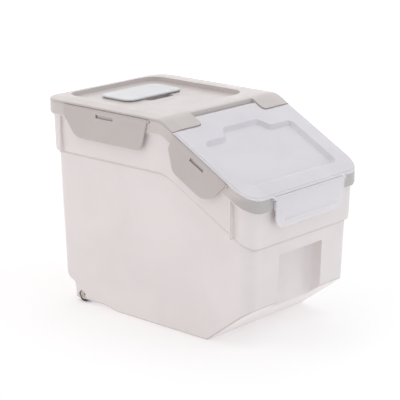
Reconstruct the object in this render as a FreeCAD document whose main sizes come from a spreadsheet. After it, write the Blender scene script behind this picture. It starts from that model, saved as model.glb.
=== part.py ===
import FreeCAD, Part
import Sketcher
import math
import operator
import os
from types import SimpleNamespace

# Pet food storage container: a tapered tub with a sloping front, a lid that lifts off,
# a clear scoop cover hinged in the lid, five latches, a desiccant box and two rear wheels.
# X runs across the container, -Y is its front, Z is up, and the origin lies on the floor
# midway along the lid's rail.

DIMENSIONS = (
    # the lid's outline and the side view that the tub and cover share
    ("lid_length", 380.0, "rail, front to back"),
    ("lid_width", 243.4, "rail, side to side"),
    ("lid_corner", 28.0, "rail's corner radius in plan"),
    ("seam_height", 293.4, "floor to the seam between rail and ledge"),
    ("kink_forward", 37.0, "centre to the kink where the slope starts"),
    ("slope_angle", 29.0, "slope below level, degrees"),
    ("kink_radius", 30.0, "rounding of the kink in side view"),
    ("overrun", 20.0, "how far a cutting block runs past what it cuts"),
    ("overlap", 1.0, "how far two joined blocks sink into each other"),
    # lid
    ("rail_height", 16.5, "seam to the rail's lower edge"),
    ("rail_wall", 2.4, "rail thickness"),
    ("rail_head", 4.2, "thicker head of the rail that takes the latch hinges"),
    ("rim_line", 0.35, "gap between the rail's top and the cover's rim"),
    ("web_drop", 3.0, "seam to the web's upper face"),
    ("web_wall", 2.4, "web thickness"),
    ("web_width", 11.5, "outline to the ledge's hollow underside"),
    ("dome_rise", 4.4, "seam to the top of the ledge"),
    ("dome_round", 2.0, "rounding of the ledge's outer edge"),
    ("dome_fall", 1.6, "fall of the ledge's outer part"),
    ("dome_run", 18.0, "width of that falling part"),
    ("groove_height", 0.6, "seam groove above the seam"),
    ("groove_depth", 0.5, "seam groove into the rail"),
    ("top_wall", 2.6, "ledge thickness over its hollow"),
    ("panel_width", 182.0, "recessed panel, side to side"),
    ("panel_back", 13.0, "recessed panel to the lid's back"),
    ("panel_front", 8.0, "recessed panel's front edge, forward of centre"),
    ("panel_corner", 25.0, "recessed panel's corner radius"),
    ("panel_depth", 6.6, "recessed panel below the ledge"),
    ("panel_flare", 14.0, "lean of the recess walls, degrees"),
    ("ledge_solid", 6.0, "kink to the ledge's hollow underside"),
    ("lobe_length", 24.5, "hinge lobes down the slope from the kink"),
    ("lobe_corner", 7.0, "rounding of the lobes' inner corners"),
    ("tongue_width", 129.0, "room between the hinge lobes"),
    ("mouth_width", 196.0, "scoop mouth, side to side"),
    ("mouth_start", 36.0, "kink to the mouth's upper edge along the slope"),
    ("mouth_end", 153.5, "kink to the mouth's lower edge along the slope"),
    ("mouth_corner", 14.0, "scoop mouth's corner radius"),
    ("crossbar_lean", 8.0, "backward lean of the crossbar's face, degrees"),
    # lid seal
    ("lid_seal_height", 3.0, "height of the lid seal"),
    ("lid_seal_start", 2.7, "outline to the lid seal"),
    ("lid_seal_width", 5.0, "width of the lid seal"),
    ("seat_gap", 0.3, "air between a seal and what it closes on"),
    ("seal_rib", 1.4, "rib inside the seal channel"),
    ("seal_rib_drop", 4.0, "rib below the web"),
    # tub
    ("tub_wall", 2.2, "tub wall and floor"),
    ("tub_draft", 2.1, "draft of the tub's walls, degrees"),
    ("step_drop", 71.9, "seam to the step between skirt and body"),
    ("step_radius", 60.0, "rounding of the step line's kink"),
    ("skirt_inset", 7.0, "lid outline to the skirt, at the step"),
    ("body_inset", 10.6, "lid outline to the body, at the step"),
    ("body_corner", 14.0, "body's corner radius at the floor"),
    ("tub_forward", 3.4, "how much further forward the front wall stands"),
    ("bead_gap", 0.4, "air between the rail and the rim bead"),
    ("bead_height", 2.2, "height of the rim bead"),
    ("bead_inset", 1.2, "lid outline to the bead's edge"),
    ("neck_inset", 4.6, "lid outline to the rim's neck"),
    ("neck_wall", 2.4, "thickness of that neck"),
    ("chamfer_foot", 102.0, "centre to where the front chamfer meets the floor"),
    ("chamfer_angle", 37.0, "front chamfer above level, degrees"),
    ("foot_back", 65.0, "centre to the back end of the flat foot"),
    ("heel_start", 91.0, "centre to the raised heel"),
    ("heel_rise", 4.8, "raised heel above the floor"),
    ("heel_back", 149.2, "centre to the heel's back face"),
    ("heel_top", 27.0, "floor to the top of the heel's back face"),
    ("tail_angle", 28.0, "slope from the heel up to the back wall, degrees"),
    ("tub_round", 3.0, "rounding of the tub's lower edges"),
    ("step_round", 1.8, "rounding of the skirt's lower edge"),
    ("foot_round", 8.0, "rounding where the front chamfer meets the foot"),
    ("heel_round", 3.0, "rounding of the heel's lower back edge"),
    ("tail_round", 5.0, "rounding above the heel's back face"),
    ("grip_width", 92.0, "front grip, side to side"),
    ("grip_top", 123.0, "floor to the top of the front grip"),
    ("grip_back", 158.0, "centre to the back wall of the front grip"),
    ("grip_corner", 9.0, "rounding of the grip's inner corners"),
    ("rib_width", 2.5, "corner ribs on the skirt"),
    ("rib_inset", 1.8, "lid outline to the corner ribs' outer faces"),
    ("front_rib_place", 154.8, "centre to the front corner ribs"),
    ("back_rib_place", 156.7, "centre to the back corner ribs"),
    # side latches
    ("latch_axis_out", 0.2, "latch hinge axis beyond the rail"),
    ("latch_barrel", 2.5, "latch hinge barrel radius"),
    ("latch_room", 0.3, "air round a latch barrel"),
    ("latch_wall", 2.3, "latch plate thickness"),
    ("latch_depth", 41.6, "latch hinge axis to the plate's lower edge"),
    ("latch_edge", 0.8, "rounding of the latch plate's outer edge"),
    ("latch_pin", 0.9, "latch pin radius"),
    ("latch_slot_drop", 6.2, "latch hinge axis to the slot"),
    ("latch_slot_width", 5.0, "slot through the latch"),
    ("hook_gap", 0.3, "air between a latch hook and what it closes on"),
    ("hook_height", 1.8, "height of a latch hook"),
    ("hook_length", 50.0, "length of a side latch's hook"),
    ("eye_length", 3.0, "hinge eyes beside each latch"),
    ("eye_radius", 2.0, "radius of those eyes"),
    ("rear_latch_middle", 64.5, "centre to the middle of the rear side latches"),
    ("rear_latch_length", 157.0, "length of the rear side latches"),
    ("rear_slot_length", 33.0, "length of their slots"),
    ("rear_back_run", 22.5, "their slanted back end, along the latch"),
    ("rear_back_straight", 13.5, "hinge to that slant"),
    ("rear_back_corner", 22.0, "rounding at the slant's foot"),
    ("rear_front_run", 11.5, "their slanted front end, along the latch"),
    ("rear_front_straight", 1.5, "hinge to that slant"),
    ("rear_front_corner", 10.0, "rounding at the slant's foot"),
    ("slope_latch_middle", 80.0, "kink to the middle of the slope latches"),
    ("slope_latch_length", 102.0, "length of the slope latches"),
    ("slope_slot_length", 26.0, "length of their slots"),
    ("slope_back_run", 22.0, "their slanted upper end, along the latch"),
    ("slope_back_straight", 18.0, "hinge to that slant"),
    ("slope_back_corner", 16.0, "rounding at the slant's foot"),
    ("slope_front_run", 14.0, "their slanted lower end, along the latch"),
    ("slope_front_straight", 1.5, "hinge to that slant"),
    ("slope_front_corner", 26.0, "rounding at the slant's foot"),
    ("latch_shoulder", 8.0, "rounding where a latch's slants start"),
    # scoop cover
    ("cover_wall", 2.0, "cover thickness"),
    ("cover_gap", 0.9, "air between the cover and the hinge lobes"),
    ("cover_step", 0.8, "drop of the cover's outer rim"),
    ("cover_step_width", 3.2, "width of the cover's outer rim"),
    ("hinge_along", 9.0, "kink to the cover's hinge axis along the slope"),
    ("hinge_barrel", 4.0, "cover's hinge barrel radius"),
    ("barrel_front", 3.0, "more room in front of that barrel"),
    ("barrel_room", 0.7, "air round the cover's hinge barrel"),
    ("cover_pin", 1.5, "cover hinge pin radius"),
    ("cover_pin_length", 17.0, "cover hinge pin length"),
    ("cover_pin_seat", 7.0, "depth of a cover pin in its lobe"),
    ("pin_play", 0.05, "running clearance round a pin"),
    ("pin_seat_play", 0.02, "clearance of a fixed pin in its seat"),
    ("window_width", 186.0, "cover's recessed window, side to side"),
    ("window_start", 54.3, "kink to the window's shoulders along the slope"),
    ("window_rise", 17.0, "how far the window's middle reaches above its shoulders"),
    ("window_middle", 78.0, "width of that raised middle"),
    ("window_slant", 11.0, "run of the slants beside that middle"),
    ("window_end", 149.5, "kink to the window's lower edge along the slope"),
    ("window_corner", 10.0, "window's corner radius"),
    ("window_depth", 6.0, "depth of the window below the cover's face"),
    ("window_flare", 40.0, "lean of the window's walls, degrees"),
    # cover seal
    ("cover_seal_margin", 3.6, "mouth's edge to the cover seal"),
    ("cover_seal_width", 4.5, "width of the cover seal"),
    # front latch
    ("front_latch_width", 146.0, "front latch, side to side"),
    ("front_latch_depth", 40.0, "front latch's hinge axis to its lower edge"),
    ("front_latch_wall", 2.0, "front latch thickness"),
    ("front_latch_corner", 15.0, "front latch's lower corner radius"),
    ("front_latch_out", 2.5, "rail's front to the front latch's axis"),
    ("front_latch_below", 1.2, "cover's lower front edge to the front latch's axis"),
    ("front_barrel", 2.2, "front latch's barrel radius"),
    ("front_pin", 1.0, "front latch pin radius"),
    ("front_eye", 4.0, "length of the cover's eyes for that pin"),
    ("front_return", 1.8, "thickness of the front latch's end walls"),
    ("front_hook_length", 73.0, "length of the front latch's hook"),
    ("lip_width", 110.0, "front latch's lip, side to side"),
    ("lip_drop", 28.0, "front latch's hinge axis to the top of its lip"),
    ("lip_height", 4.0, "height of that slanted lip"),
    ("lip_proud", 2.0, "lip's lower edge beyond the latch's face"),
    # desiccant box and its cap
    ("box_middle", 115.5, "centre to the middle of the desiccant box"),
    ("box_length", 100.0, "desiccant box, side to side"),
    ("box_width", 44.0, "desiccant box, front to back"),
    ("box_corner", 10.0, "desiccant box corner radius"),
    ("box_depth", 18.0, "desiccant box below its flange"),
    ("box_wall", 1.6, "desiccant box wall"),
    ("box_flange", 4.0, "flange round the desiccant box"),
    ("box_flange_height", 1.2, "thickness of that flange"),
    ("box_gap", 0.4, "air between the box and the panel's hole"),
    ("vent_length", 16.0, "vents in the box's floor, front to back"),
    ("vent_width", 2.4, "width of a vent"),
    ("vent_corner", 1.0, "rounding of a vent's corners"),
    ("vent_pitch", 9.0, "vent to vent"),
    ("cap_length", 114.0, "cap, side to side"),
    ("cap_width", 61.0, "cap, front to back"),
    ("cap_corner", 14.0, "cap's corner radius"),
    ("cap_height", 2.4, "cap thickness"),
    ("cap_round", 1.5, "rounding of the cap's edge"),
    ("cap_plug", 5.0, "plug under the cap"),
    ("cap_gap", 0.3, "air round the cap's plug"),
    ("notch_length", 52.0, "finger notch, side to side"),
    ("notch_width", 17.0, "finger notch, front to back"),
    ("notch_corner", 7.5, "finger notch's corner radius"),
    ("notch_depth", 6.0, "finger notch below the panel"),
    ("cap_shift", 3.0, "finger notch, box and cap off the centre line"),
    ("notch_under", 5.5, "finger notch under the cap's edge"),
    # wheels
    ("wheel_radius", 10.2, "wheel over its tyre"),
    ("wheel_width", 11.0, "wheel thickness"),
    ("wheel_place", 135.6, "centre to the wheels' axis"),
    ("wheel_face", 100.0, "middle plane to a wheel's outer face"),
    ("wheel_room", 1.2, "air round a wheel"),
    ("hub_room", 0.7, "air beside a wheel and round its hub in the tub's side"),
    ("hub_radius", 6.4, "wheel hub under the tyre"),
    ("hub_dish", 1.2, "depth of the dish in a hub's outer face"),
    ("hub_lip", 1.4, "lip round that dish"),
    ("tyre_edge", 0.8, "bevel of the tyre's edges"),
    ("axle_radius", 1.8, "wheel axle radius"),
    ("axle_seat", 6.0, "depth of an axle in the tub"),
    ("axle_short", 3.5, "wheel's outer face to the axle's end"),
)

doc = FreeCAD.newDocument("pet_food_container")
sheet = doc.addObject("Spreadsheet::Sheet", "sizes")


class Size:
    """A number together with the sheet expression that gives it."""

    def __init__(self, value, text):
        self.value = value
        self.text = text

    def __add__(self, other):
        return combine(self, "+", other)

    def __radd__(self, other):
        return combine(other, "+", self)

    def __sub__(self, other):
        return combine(self, "-", other)

    def __rsub__(self, other):
        return combine(other, "-", self)

    def __mul__(self, other):
        return combine(self, "*", other)

    def __rmul__(self, other):
        return combine(other, "*", self)

    def __truediv__(self, other):
        return combine(self, "/", other)

    def __neg__(self):
        return combine(-1, "*", self)


SIGNS = {"+": operator.add, "-": operator.sub, "*": operator.mul, "/": operator.truediv}


def as_size(item):
    """The item itself, or a plain number as a size."""
    if isinstance(item, Size):
        return item
    return Size(float(item), "%.6f" % item)


def combine(left, sign, right):
    """One size worked out from two."""
    left = as_size(left)
    right = as_size(right)
    value = SIGNS[sign](left.value, right.value)
    return Size(value, "(" + left.text + " " + sign + " " + right.text + ")")


def sine(angle):
    """Sine of an angle in degrees."""
    return Size(math.sin(math.radians(angle.value)), "sin(" + angle.text + ")")


def cosine(angle):
    """Cosine of an angle in degrees."""
    return Size(math.cos(math.radians(angle.value)), "cos(" + angle.text + ")")


def tangent(angle):
    """Tangent of an angle in degrees."""
    return Size(math.tan(math.radians(angle.value)), "tan(" + angle.text + ")")


def enter_sizes():
    """Writes the driving dimensions into the sheet and gives them back by name."""
    for row, (alias, value, meaning) in enumerate(DIMENSIONS, start=1):
        sheet.set("A%d" % row, meaning)
        sheet.set("B%d" % row, str(value))
        sheet.setAlias("B%d" % row, alias)
    doc.recompute()
    return {row[0]: Size(float(sheet.get(row[0])), "sizes." + row[0]) for row in DIMENSIONS}


S = SimpleNamespace(**enter_sizes())

RIGHT_UP = FreeCAD.Rotation(0.5, 0.5, 0.5, 0.5)
ALONG_X = FreeCAD.Rotation(FreeCAD.Vector(0, 1, 0), 90)
ALONG_Y = FreeCAD.Rotation(FreeCAD.Vector(1, 0, 0), -90)
SIDES = (("left", -1), ("right", 1))
VENTS = 7
TOUCH = 0.01
# a face counts as upright, or as turned up or down, by the upward share of its normal
UPRIGHT = 0.2
TURNED = 0.5

# places and sizes that several pieces share
half_length = S.lid_length / 2
half_width = S.lid_width / 2
reach = half_length + S.overrun
slope_sin = sine(S.slope_angle)
slope_cos = cosine(S.slope_angle)
slope_tan = tangent(S.slope_angle)
web_bottom = S.web_drop + S.web_wall
rim_drop = web_bottom + S.lid_seal_height + S.seat_gap
top_height = S.seam_height + S.dome_rise
panel_height = top_height - S.panel_depth
step_height = S.seam_height - S.step_drop
hinge_below = S.hinge_barrel - S.cover_wall
latch_axis_drop = S.latch_barrel + S.latch_room
latch_axis_across = half_width + S.latch_axis_out
bead_top = S.rail_height + S.bead_gap
bead_bottom = bead_top + S.bead_height
hook_drop = bead_bottom + S.hook_gap


def on_slope(along, lift):
    """Side view point a distance down the slope from the kink and lifted square off it."""
    y = -S.kink_forward - along * slope_cos - lift * slope_sin
    z = S.seam_height - along * slope_sin + lift * slope_cos
    return y, z


def slope_line(y, lift):
    """Height over y of the line that runs parallel to the slope, lifted square off it."""
    return S.seam_height + (y + S.kink_forward) * slope_tan + as_size(lift) / slope_cos


# sketches and solids


def bind(thing, path, size):
    """Ties a property to the sheet."""
    thing.setExpression(path, as_size(size).text)


def place(thing, x, y, z):
    """Ties a piece's position to the sheet."""
    bind(thing, "Placement.Base.x", x)
    bind(thing, "Placement.Base.y", y)
    bind(thing, "Placement.Base.z", z)


def pin_constraint(sketch, constraint, name, size):
    """Adds a driving constraint and ties its value to the sheet."""
    index = sketch.addConstraint(constraint)
    sketch.renameConstraint(index, name)
    bind(sketch, "Constraints." + name, size)


def corner_shape(points, corners, index):
    """Tangent points, arc and turning direction at one corner of an outline."""
    here = points[index]
    radius = as_size(corners[index][2]).value
    if radius == 0:
        return here, here, None, True
    back = (points[index - 1] - here).normalize()
    ahead = (points[(index + 1) % len(points)] - here).normalize()
    half = back.getAngle(ahead) / 2
    first = here + back * (radius / math.tan(half))
    last = here + ahead * (radius / math.tan(half))
    middle = here + (back + ahead).normalize() * (radius / math.sin(half))
    turns_left = ahead.cross(back).z > 0
    start, end = (first, last) if turns_left else (last, first)
    circle = Part.Circle(middle, FreeCAD.Vector(0, 0, 1), radius)
    start_angle = math.atan2(start.y - middle.y, start.x - middle.x)
    end_angle = math.atan2(end.y - middle.y, end.x - middle.x)
    return first, last, Part.ArcOfCircle(circle, start_angle, end_angle), turns_left


def draw_outline(sketch, corners):
    """Closed outline through corners of (across, up, rounding), rounded by tangent arcs."""
    count = len(corners)
    points = [FreeCAD.Vector(as_size(x).value, as_size(y).value, 0) for x, y, _ in corners]
    shapes = [corner_shape(points, corners, index) for index in range(count)]
    lines = []
    for index in range(count):
        start = shapes[index][1]
        end = shapes[(index + 1) % count][0]
        lines.append(sketch.addGeometry(Part.LineSegment(start, end)))
    for index, (across, up, rounding) in enumerate(corners):
        before = lines[index - 1]
        after = lines[index]
        arc, turns_left = shapes[index][2:]
        if arc is None:
            sketch.addConstraint(Sketcher.Constraint("Coincident", before, 2, after, 1))
            corner = after
        else:
            bend = sketch.addGeometry(arc)
            first, last = (1, 2) if turns_left else (2, 1)
            sketch.addConstraint(Sketcher.Constraint("Tangent", before, 2, bend, first))
            sketch.addConstraint(Sketcher.Constraint("Tangent", bend, last, after, 1))
            pin_constraint(sketch, Sketcher.Constraint("Radius", bend, arc.Radius),
                           "radius_%d" % index, rounding)
            corner = sketch.addGeometry(Part.Point(points[index]), True)
            sketch.addConstraint(Sketcher.Constraint("PointOnObject", corner, 1, before))
            sketch.addConstraint(Sketcher.Constraint("PointOnObject", corner, 1, after))
        pin_constraint(sketch, Sketcher.Constraint("DistanceX", -1, 1, corner, 1, points[index].x),
                       "across_%d" % index, across)
        pin_constraint(sketch, Sketcher.Constraint("DistanceY", -1, 1, corner, 1, points[index].y),
                       "up_%d" % index, up)
    return sketch


def draw_circle(sketch, across, up, radius):
    """A circle, placed and sized from the sheet."""
    centre = FreeCAD.Vector(as_size(across).value, as_size(up).value, 0)
    circle = Part.Circle(centre, FreeCAD.Vector(0, 0, 1), radius.value)
    ring = sketch.addGeometry(circle)
    pin_constraint(sketch, Sketcher.Constraint("Radius", ring, radius.value), "radius", radius)
    pin_constraint(sketch, Sketcher.Constraint("DistanceX", -1, 1, ring, 3, centre.x), "across", across)
    pin_constraint(sketch, Sketcher.Constraint("DistanceY", -1, 1, ring, 3, centre.y), "up", up)
    return sketch


def rectangle(left, right, low, high, rounding=0):
    """Corners of a rectangle with all its corners rounded alike."""
    return [(left, low, rounding), (right, low, rounding), (right, high, rounding), (left, high, rounding)]


def level_sketch(name, height, corners):
    """Outline in a level plane."""
    sketch = doc.addObject("Sketcher::SketchObject", name + "_outline")
    place(sketch, 0, 0, height)
    return draw_outline(sketch, corners)


def side_sketch(name, across, corners):
    """Outline in side view, of (y, z) corners."""
    sketch = doc.addObject("Sketcher::SketchObject", name + "_outline")
    sketch.Placement.Rotation = RIGHT_UP
    place(sketch, across, 0, 0)
    return draw_outline(sketch, corners)


def lean_with_slope(thing):
    """Turns a piece from level to the slope."""
    thing.Placement.Rotation = FreeCAD.Rotation(FreeCAD.Vector(1, 0, 0), S.slope_angle.value)
    bind(thing, "Placement.Rotation.Angle", S.slope_angle)


def slope_sketch(name, lift, corners):
    """Outline in a plane parallel to the slope, with y running up the slope from the kink."""
    sketch = doc.addObject("Sketcher::SketchObject", name + "_outline")
    lean_with_slope(sketch)
    y, z = on_slope(0, as_size(lift))
    place(sketch, 0, y, z)
    return draw_outline(sketch, corners)


def prism(name, sketch, length, flare=None):
    """Solid raised square off a sketch, flaring outwards by an angle if one is given."""
    solid = doc.addObject("Part::Extrusion", name)
    solid.Base = sketch
    solid.DirMode = "Normal"
    solid.Solid = True
    bind(solid, "LengthFwd", length)
    if flare is not None:
        bind(solid, "TaperAngle", flare)
    return solid


def fuse(name, *pieces):
    """One solid out of several that meet."""
    joined = doc.addObject("Part::MultiFuse", name)
    joined.Shapes = list(pieces)
    joined.Refine = True
    return joined


def common(name, *pieces):
    """What the pieces share."""
    shared = doc.addObject("Part::MultiCommon", name)
    shared.Shapes = list(pieces)
    shared.Refine = True
    return shared


def cut(name, base, *tools):
    """The base with each tool taken away in turn."""
    for count, tool in enumerate(tools, start=1):
        last = count == len(tools)
        carved = doc.addObject("Part::Cut", name if last else "%s_cut_%d" % (name, count))
        carved.Base = base
        carved.Tool = tool
        carved.Refine = True
        base = carved
    return base


def rod(name, radius, length, rotation, x, y, z):
    """Round bar from one end, along the way the rotation turns upright."""
    bar = doc.addObject("Part::Cylinder", name)
    bind(bar, "Radius", radius)
    bind(bar, "Height", length)
    bar.Placement.Rotation = rotation
    place(bar, x, y, z)
    return bar


def plan(name, inset, bottom, height, flare=None, forward=0, rounding=None):
    """Upright block of the lid's outline, drawn in by an inset, with its front moved forward."""
    half = half_width - inset
    back = half_length - inset
    rounding = S.lid_corner - inset if rounding is None else rounding
    corners = rectangle(-half, half, -back - forward, back, rounding)
    return prism(name, level_sketch(name, bottom, corners), height, flare=flare)


def bent_line(drop, rounding):
    """Corners of the lid's side view, dropped below the seam, from the back to the front."""
    z = S.seam_height - drop
    front = z - (reach - S.kink_forward) * slope_tan
    return [(reach, z, 0), (-S.kink_forward, z, rounding), (-reach, front, 0)]


def across(name, corners):
    """Block wider than the lid with an outline in side view."""
    return prism(name, side_sketch(name, -half_width - S.overrun, corners), S.lid_width + S.overrun * 2)


def band(name, upper_drop, lower_drop, rounding=None):
    """Block as wide as the lid between two lines of its side view."""
    rounding = S.kink_radius if rounding is None else rounding
    corners = bent_line(upper_drop, rounding) + bent_line(lower_drop, rounding)[::-1]
    return across(name, corners)


def edge_numbers(shape, wanted):
    """Numbers of the edges that a test picks, for a fillet."""
    return [number for number, edge in enumerate(shape.Edges, start=1) if wanted(shape, edge)]


def face_lifts(shape, edge):
    """Upward share of the normals of the faces that meet along an edge, at its middle."""
    middle = edge.valueAt((edge.FirstParameter + edge.LastParameter) / 2)
    lifts = []
    for face in shape.ancestorsOfType(edge, Part.Face):
        u, v = face.Surface.parameter(middle)
        lifts.append(face.normalAt(u, v).z)
    return sorted(lifts)


def turned_under(shape, edge):
    """Edges where an upright side turns under."""
    lifts = face_lifts(shape, edge)
    return len(lifts) == 2 and lifts[0] < -TURNED and abs(lifts[1]) < UPRIGHT


def fillet_edges(name, base, radius, wanted):
    """Rounds the edges of a solid that a test picks."""
    doc.recompute()
    rounded = doc.addObject("Part::Fillet", name)
    rounded.Base = base
    numbers = edge_numbers(base.Shape, wanted)
    rounded.Edges = [(number, radius.value, radius.value) for number in numbers]
    return rounded


def slant_edges(name, base, fall, run, wanted):
    """Slants a top face down towards the edges that a test picks."""
    doc.recompute()
    slanted = doc.addObject("Part::Chamfer", name)
    slanted.Base = base
    numbers = edge_numbers(base.Shape, wanted)
    slanted.Edges = [(number, fall.value, run.value) for number in numbers]
    return slanted


def new_body(name):
    """Empty body of one sub-part."""
    body = doc.addObject("PartDesign::Body", name)
    body.Label = name
    return body


def body_sketch(body, name, role, lift=0):
    """Sketch on one of a body's own planes, lifted off it."""
    sketch = body.newObject("Sketcher::SketchObject", body.Name + "_" + name)
    plane = next(item for item in body.Origin.OriginFeatures if item.Role == role)
    sketch.AttachmentSupport = [(plane, "")]
    sketch.MapMode = "FlatFace"
    bind(sketch, "AttachmentOffset.Base.z", lift)
    return sketch


def pad(body, name, sketch, length, reverse=False, middle=False):
    """Adds a sketch raised to a length."""
    feature = body.newObject("PartDesign::Pad", body.Name + "_" + name)
    feature.Profile = sketch
    feature.Reversed = reverse
    feature.Midplane = middle
    bind(feature, "Length", length)
    return feature


def pocket(body, name, sketch, length, reverse=False, middle=False):
    """Takes away a sketch sunk to a length."""
    feature = body.newObject("PartDesign::Pocket", body.Name + "_" + name)
    feature.Profile = sketch
    feature.Reversed = reverse
    feature.Midplane = middle
    bind(feature, "Length", length)
    return feature


def revolve(body, name, sketch):
    """Adds a sketch turned once round its own horizontal axis."""
    feature = body.newObject("PartDesign::Revolution", body.Name + "_" + name)
    feature.Profile = sketch
    feature.ReferenceAxis = (sketch, ["H_Axis"])
    feature.Angle = 360
    return feature


def body_fillet(body, name, base, radius, wanted):
    """Rounds the edges of a body's last feature that a test picks."""
    doc.recompute()
    feature = body.newObject("PartDesign::Fillet", body.Name + "_" + name)
    numbers = edge_numbers(base.Shape, wanted)
    feature.Base = (base, ["Edge%d" % number for number in numbers])
    bind(feature, "Radius", radius)
    return feature


# tub


def tub_foot(wall, top_drop, name):
    """Side view of the tub from its chamfered foot up to a line below the seam, inside a wall."""
    chamfer_tan = tangent(S.chamfer_angle)
    tail_tan = tangent(S.tail_angle)
    tail_cos = cosine(S.tail_angle)
    foot = -S.chamfer_foot + wall * tangent(S.chamfer_angle / 2)
    front_low = wall + (reach + foot) * chamfer_tan
    heel = S.heel_back - wall
    tail_low = S.heel_top + wall / tail_cos - wall * tail_tan
    tail_high = tail_low + (reach - heel) * tail_tan
    rise = wall + S.heel_rise
    corners = [(-reach, front_low, 0), (foot, wall, S.foot_round - wall), (S.foot_back, wall, 0)]
    corners += [(S.heel_start, rise, 0), (heel, rise, S.heel_round - wall)]
    corners += [(heel, tail_low, S.tail_round + wall), (reach, tail_high, 0)]
    corners += bent_line(top_drop, S.kink_radius)
    return across(name, corners)


def tub_shell(wall, top_drop, name, step_rounding=None):
    """Body and skirt of the tub inside a wall's thickness: the body tapers, the skirt stands out."""
    flare = S.tub_draft
    spread = step_height * tangent(S.tub_draft)
    lower = plan(name + "_body", S.body_inset + spread + wall, 0, S.seam_height, flare, S.tub_forward,
                 S.body_corner - wall)
    wider = plan(name + "_wide", S.skirt_inset + spread + wall, 0, S.seam_height, flare, S.tub_forward)
    over_step = band(name + "_above_step", 0, S.step_drop - wall, S.step_radius)
    skirt = common(name + "_skirt", wider, over_step)
    if step_rounding:
        skirt = fillet_edges(name + "_skirt_rounded", skirt, step_rounding, turned_under)
    both = fuse(name + "_sides", lower, skirt)
    return common(name, both, tub_foot(wall, top_drop, name + "_side_view"))


def tub_outside():
    """The tub's outer form, rounded along the edges of its foot and of the skirt."""
    shell = tub_shell(as_size(0), bead_bottom, "tub_sharp", S.step_round)

    def foot_edge(shape, edge):
        """Edges where the sides turn under into the foot, chamfer, heel and tail."""
        return turned_under(shape, edge) and edge.BoundBox.ZMax < S.seam_height.value / 2

    return fillet_edges("tub_outer", shell, S.tub_round, foot_edge)


def grip_block(wall, name):
    """Block of the front grip, grown by a wall's thickness."""
    half = S.grip_width / 2 + wall
    inner = S.grip_corner + wall
    corners = [(-half, -reach, 0), (half, -reach, 0), (half, -S.grip_back + wall, inner),
               (-half, -S.grip_back + wall, inner)]
    return prism(name, level_sketch(name, -S.overlap, corners), S.grip_top + wall + S.overlap)


def wheel_room_block(wall, side, name):
    """Round-topped room of one wheel behind the tub's side, grown by a wall's thickness."""
    inner = S.wheel_face - S.wheel_width - S.wheel_room - wall
    radius = S.wheel_radius + S.wheel_room + wall
    length = S.wheel_face + S.hub_room + wall - inner
    start = inner if side > 0 else -inner - length
    return rod(name, radius, length, ALONG_X, start, S.wheel_place, S.wheel_radius)


def hub_window(side, name):
    """Round window in the tub's side that shows one wheel's hub."""
    length = S.overrun * 2
    start = S.wheel_face if side > 0 else -S.wheel_face - length
    return rod(name, S.hub_radius + S.hub_room, length, ALONG_X, start, S.wheel_place, S.wheel_radius)


def rim_block(name, inset, upper_drop, lower_drop):
    """Slice of the tub's rim between two lines of the side view."""
    return common(name, plan(name + "_plan", inset, 0, S.seam_height),
                  band(name + "_band", upper_drop, lower_drop))


def corner_ribs():
    """Upright ribs on the skirt near its four corners."""
    ribs = []
    for end, middle in (("front", -S.front_rib_place), ("back", S.back_rib_place)):
        corners = rectangle(-half_width, half_width, middle - S.rib_width / 2, middle + S.rib_width / 2)
        ribs.append(prism(end + "_ribs_block", level_sketch(end + "_ribs", 0, corners), S.seam_height))
    proud = plan("rib_faces", S.rib_inset, 0, S.seam_height)
    under_bead = band("rib_length", bead_top, S.step_drop)
    return common("ribs", fuse("rib_blocks", *ribs), proud, under_bead)


def make_tub():
    """Tapered tub with a skirt, rim bead, grip, chamfered front foot and two wheel rooms."""
    solid = fuse("tub_solid", tub_outside(), corner_ribs(),
                 rim_block("bead", S.bead_inset, bead_top, bead_bottom),
                 rim_block("neck", S.neck_inset, rim_drop, bead_bottom))
    cavity = tub_shell(S.tub_wall, bead_top, "tub_cavity")
    keep = [grip_block(S.tub_wall, "grip_wall")]
    rooms = [grip_block(as_size(0), "grip")]
    for word, side in SIDES:
        keep.append(wheel_room_block(S.tub_wall, side, word + "_wheel_wall"))
        inner = S.wheel_face - S.wheel_width - S.wheel_room
        low = inner - S.axle_seat if side > 0 else -inner
        keep.append(rod(word + "_axle_boss", S.axle_radius + S.tub_wall, S.axle_seat, ALONG_X,
                        low, S.wheel_place, S.wheel_radius))
        rooms.append(wheel_room_block(as_size(0), side, word + "_wheel_room"))
        rooms.append(hub_window(side, word + "_hub_window"))
        rooms.append(rod(word + "_axle_bore", S.axle_radius + S.pin_seat_play, S.axle_seat + S.overlap,
                         ALONG_X, low if side > 0 else low - S.overlap, S.wheel_place, S.wheel_radius))
    hollow = cut("tub_hollow", cavity, *keep)
    throat = rim_block("throat", S.neck_inset + S.neck_wall, rim_drop - S.overlap, bead_top + S.overlap)
    return cut("tub", solid, hollow, throat, *rooms)


# lid


def seat_outline(clearance):
    """Outline of the cover's seat in the slope's plane: full width below the lobes and a tongue."""
    half = S.tongue_width / 2 - clearance
    shoulder = -S.lobe_length - clearance
    wide = half_width + S.overrun
    low = -(reach / slope_cos)
    start = -S.hinge_along
    return [(-wide, low, 0), (wide, low, 0), (wide, shoulder, 0), (half, shoulder, S.lobe_corner),
            (half, start, 0), (-half, start, 0), (-half, shoulder, S.lobe_corner), (-wide, shoulder, 0)]


def lid_block():
    """The lid's outer form: its outline raised between the rail's edge and the rounded ledge."""
    block = common("lid_block", plan("lid_plan", 0, 0, top_height + S.overlap),
                   band("lid_side_view", -S.dome_rise, S.rail_height))

    def upper_rim(shape, edge):
        """Edges where the top turns down into the sides."""
        lifts = face_lifts(shape, edge)
        return len(lifts) == 2 and abs(lifts[0]) < UPRIGHT and lifts[1] > TURNED

    domed = slant_edges("lid_domed", block, S.dome_fall, S.dome_run, upper_rim)
    return fillet_edges("lid_rounded", domed, S.dome_round, upper_rim)


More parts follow.
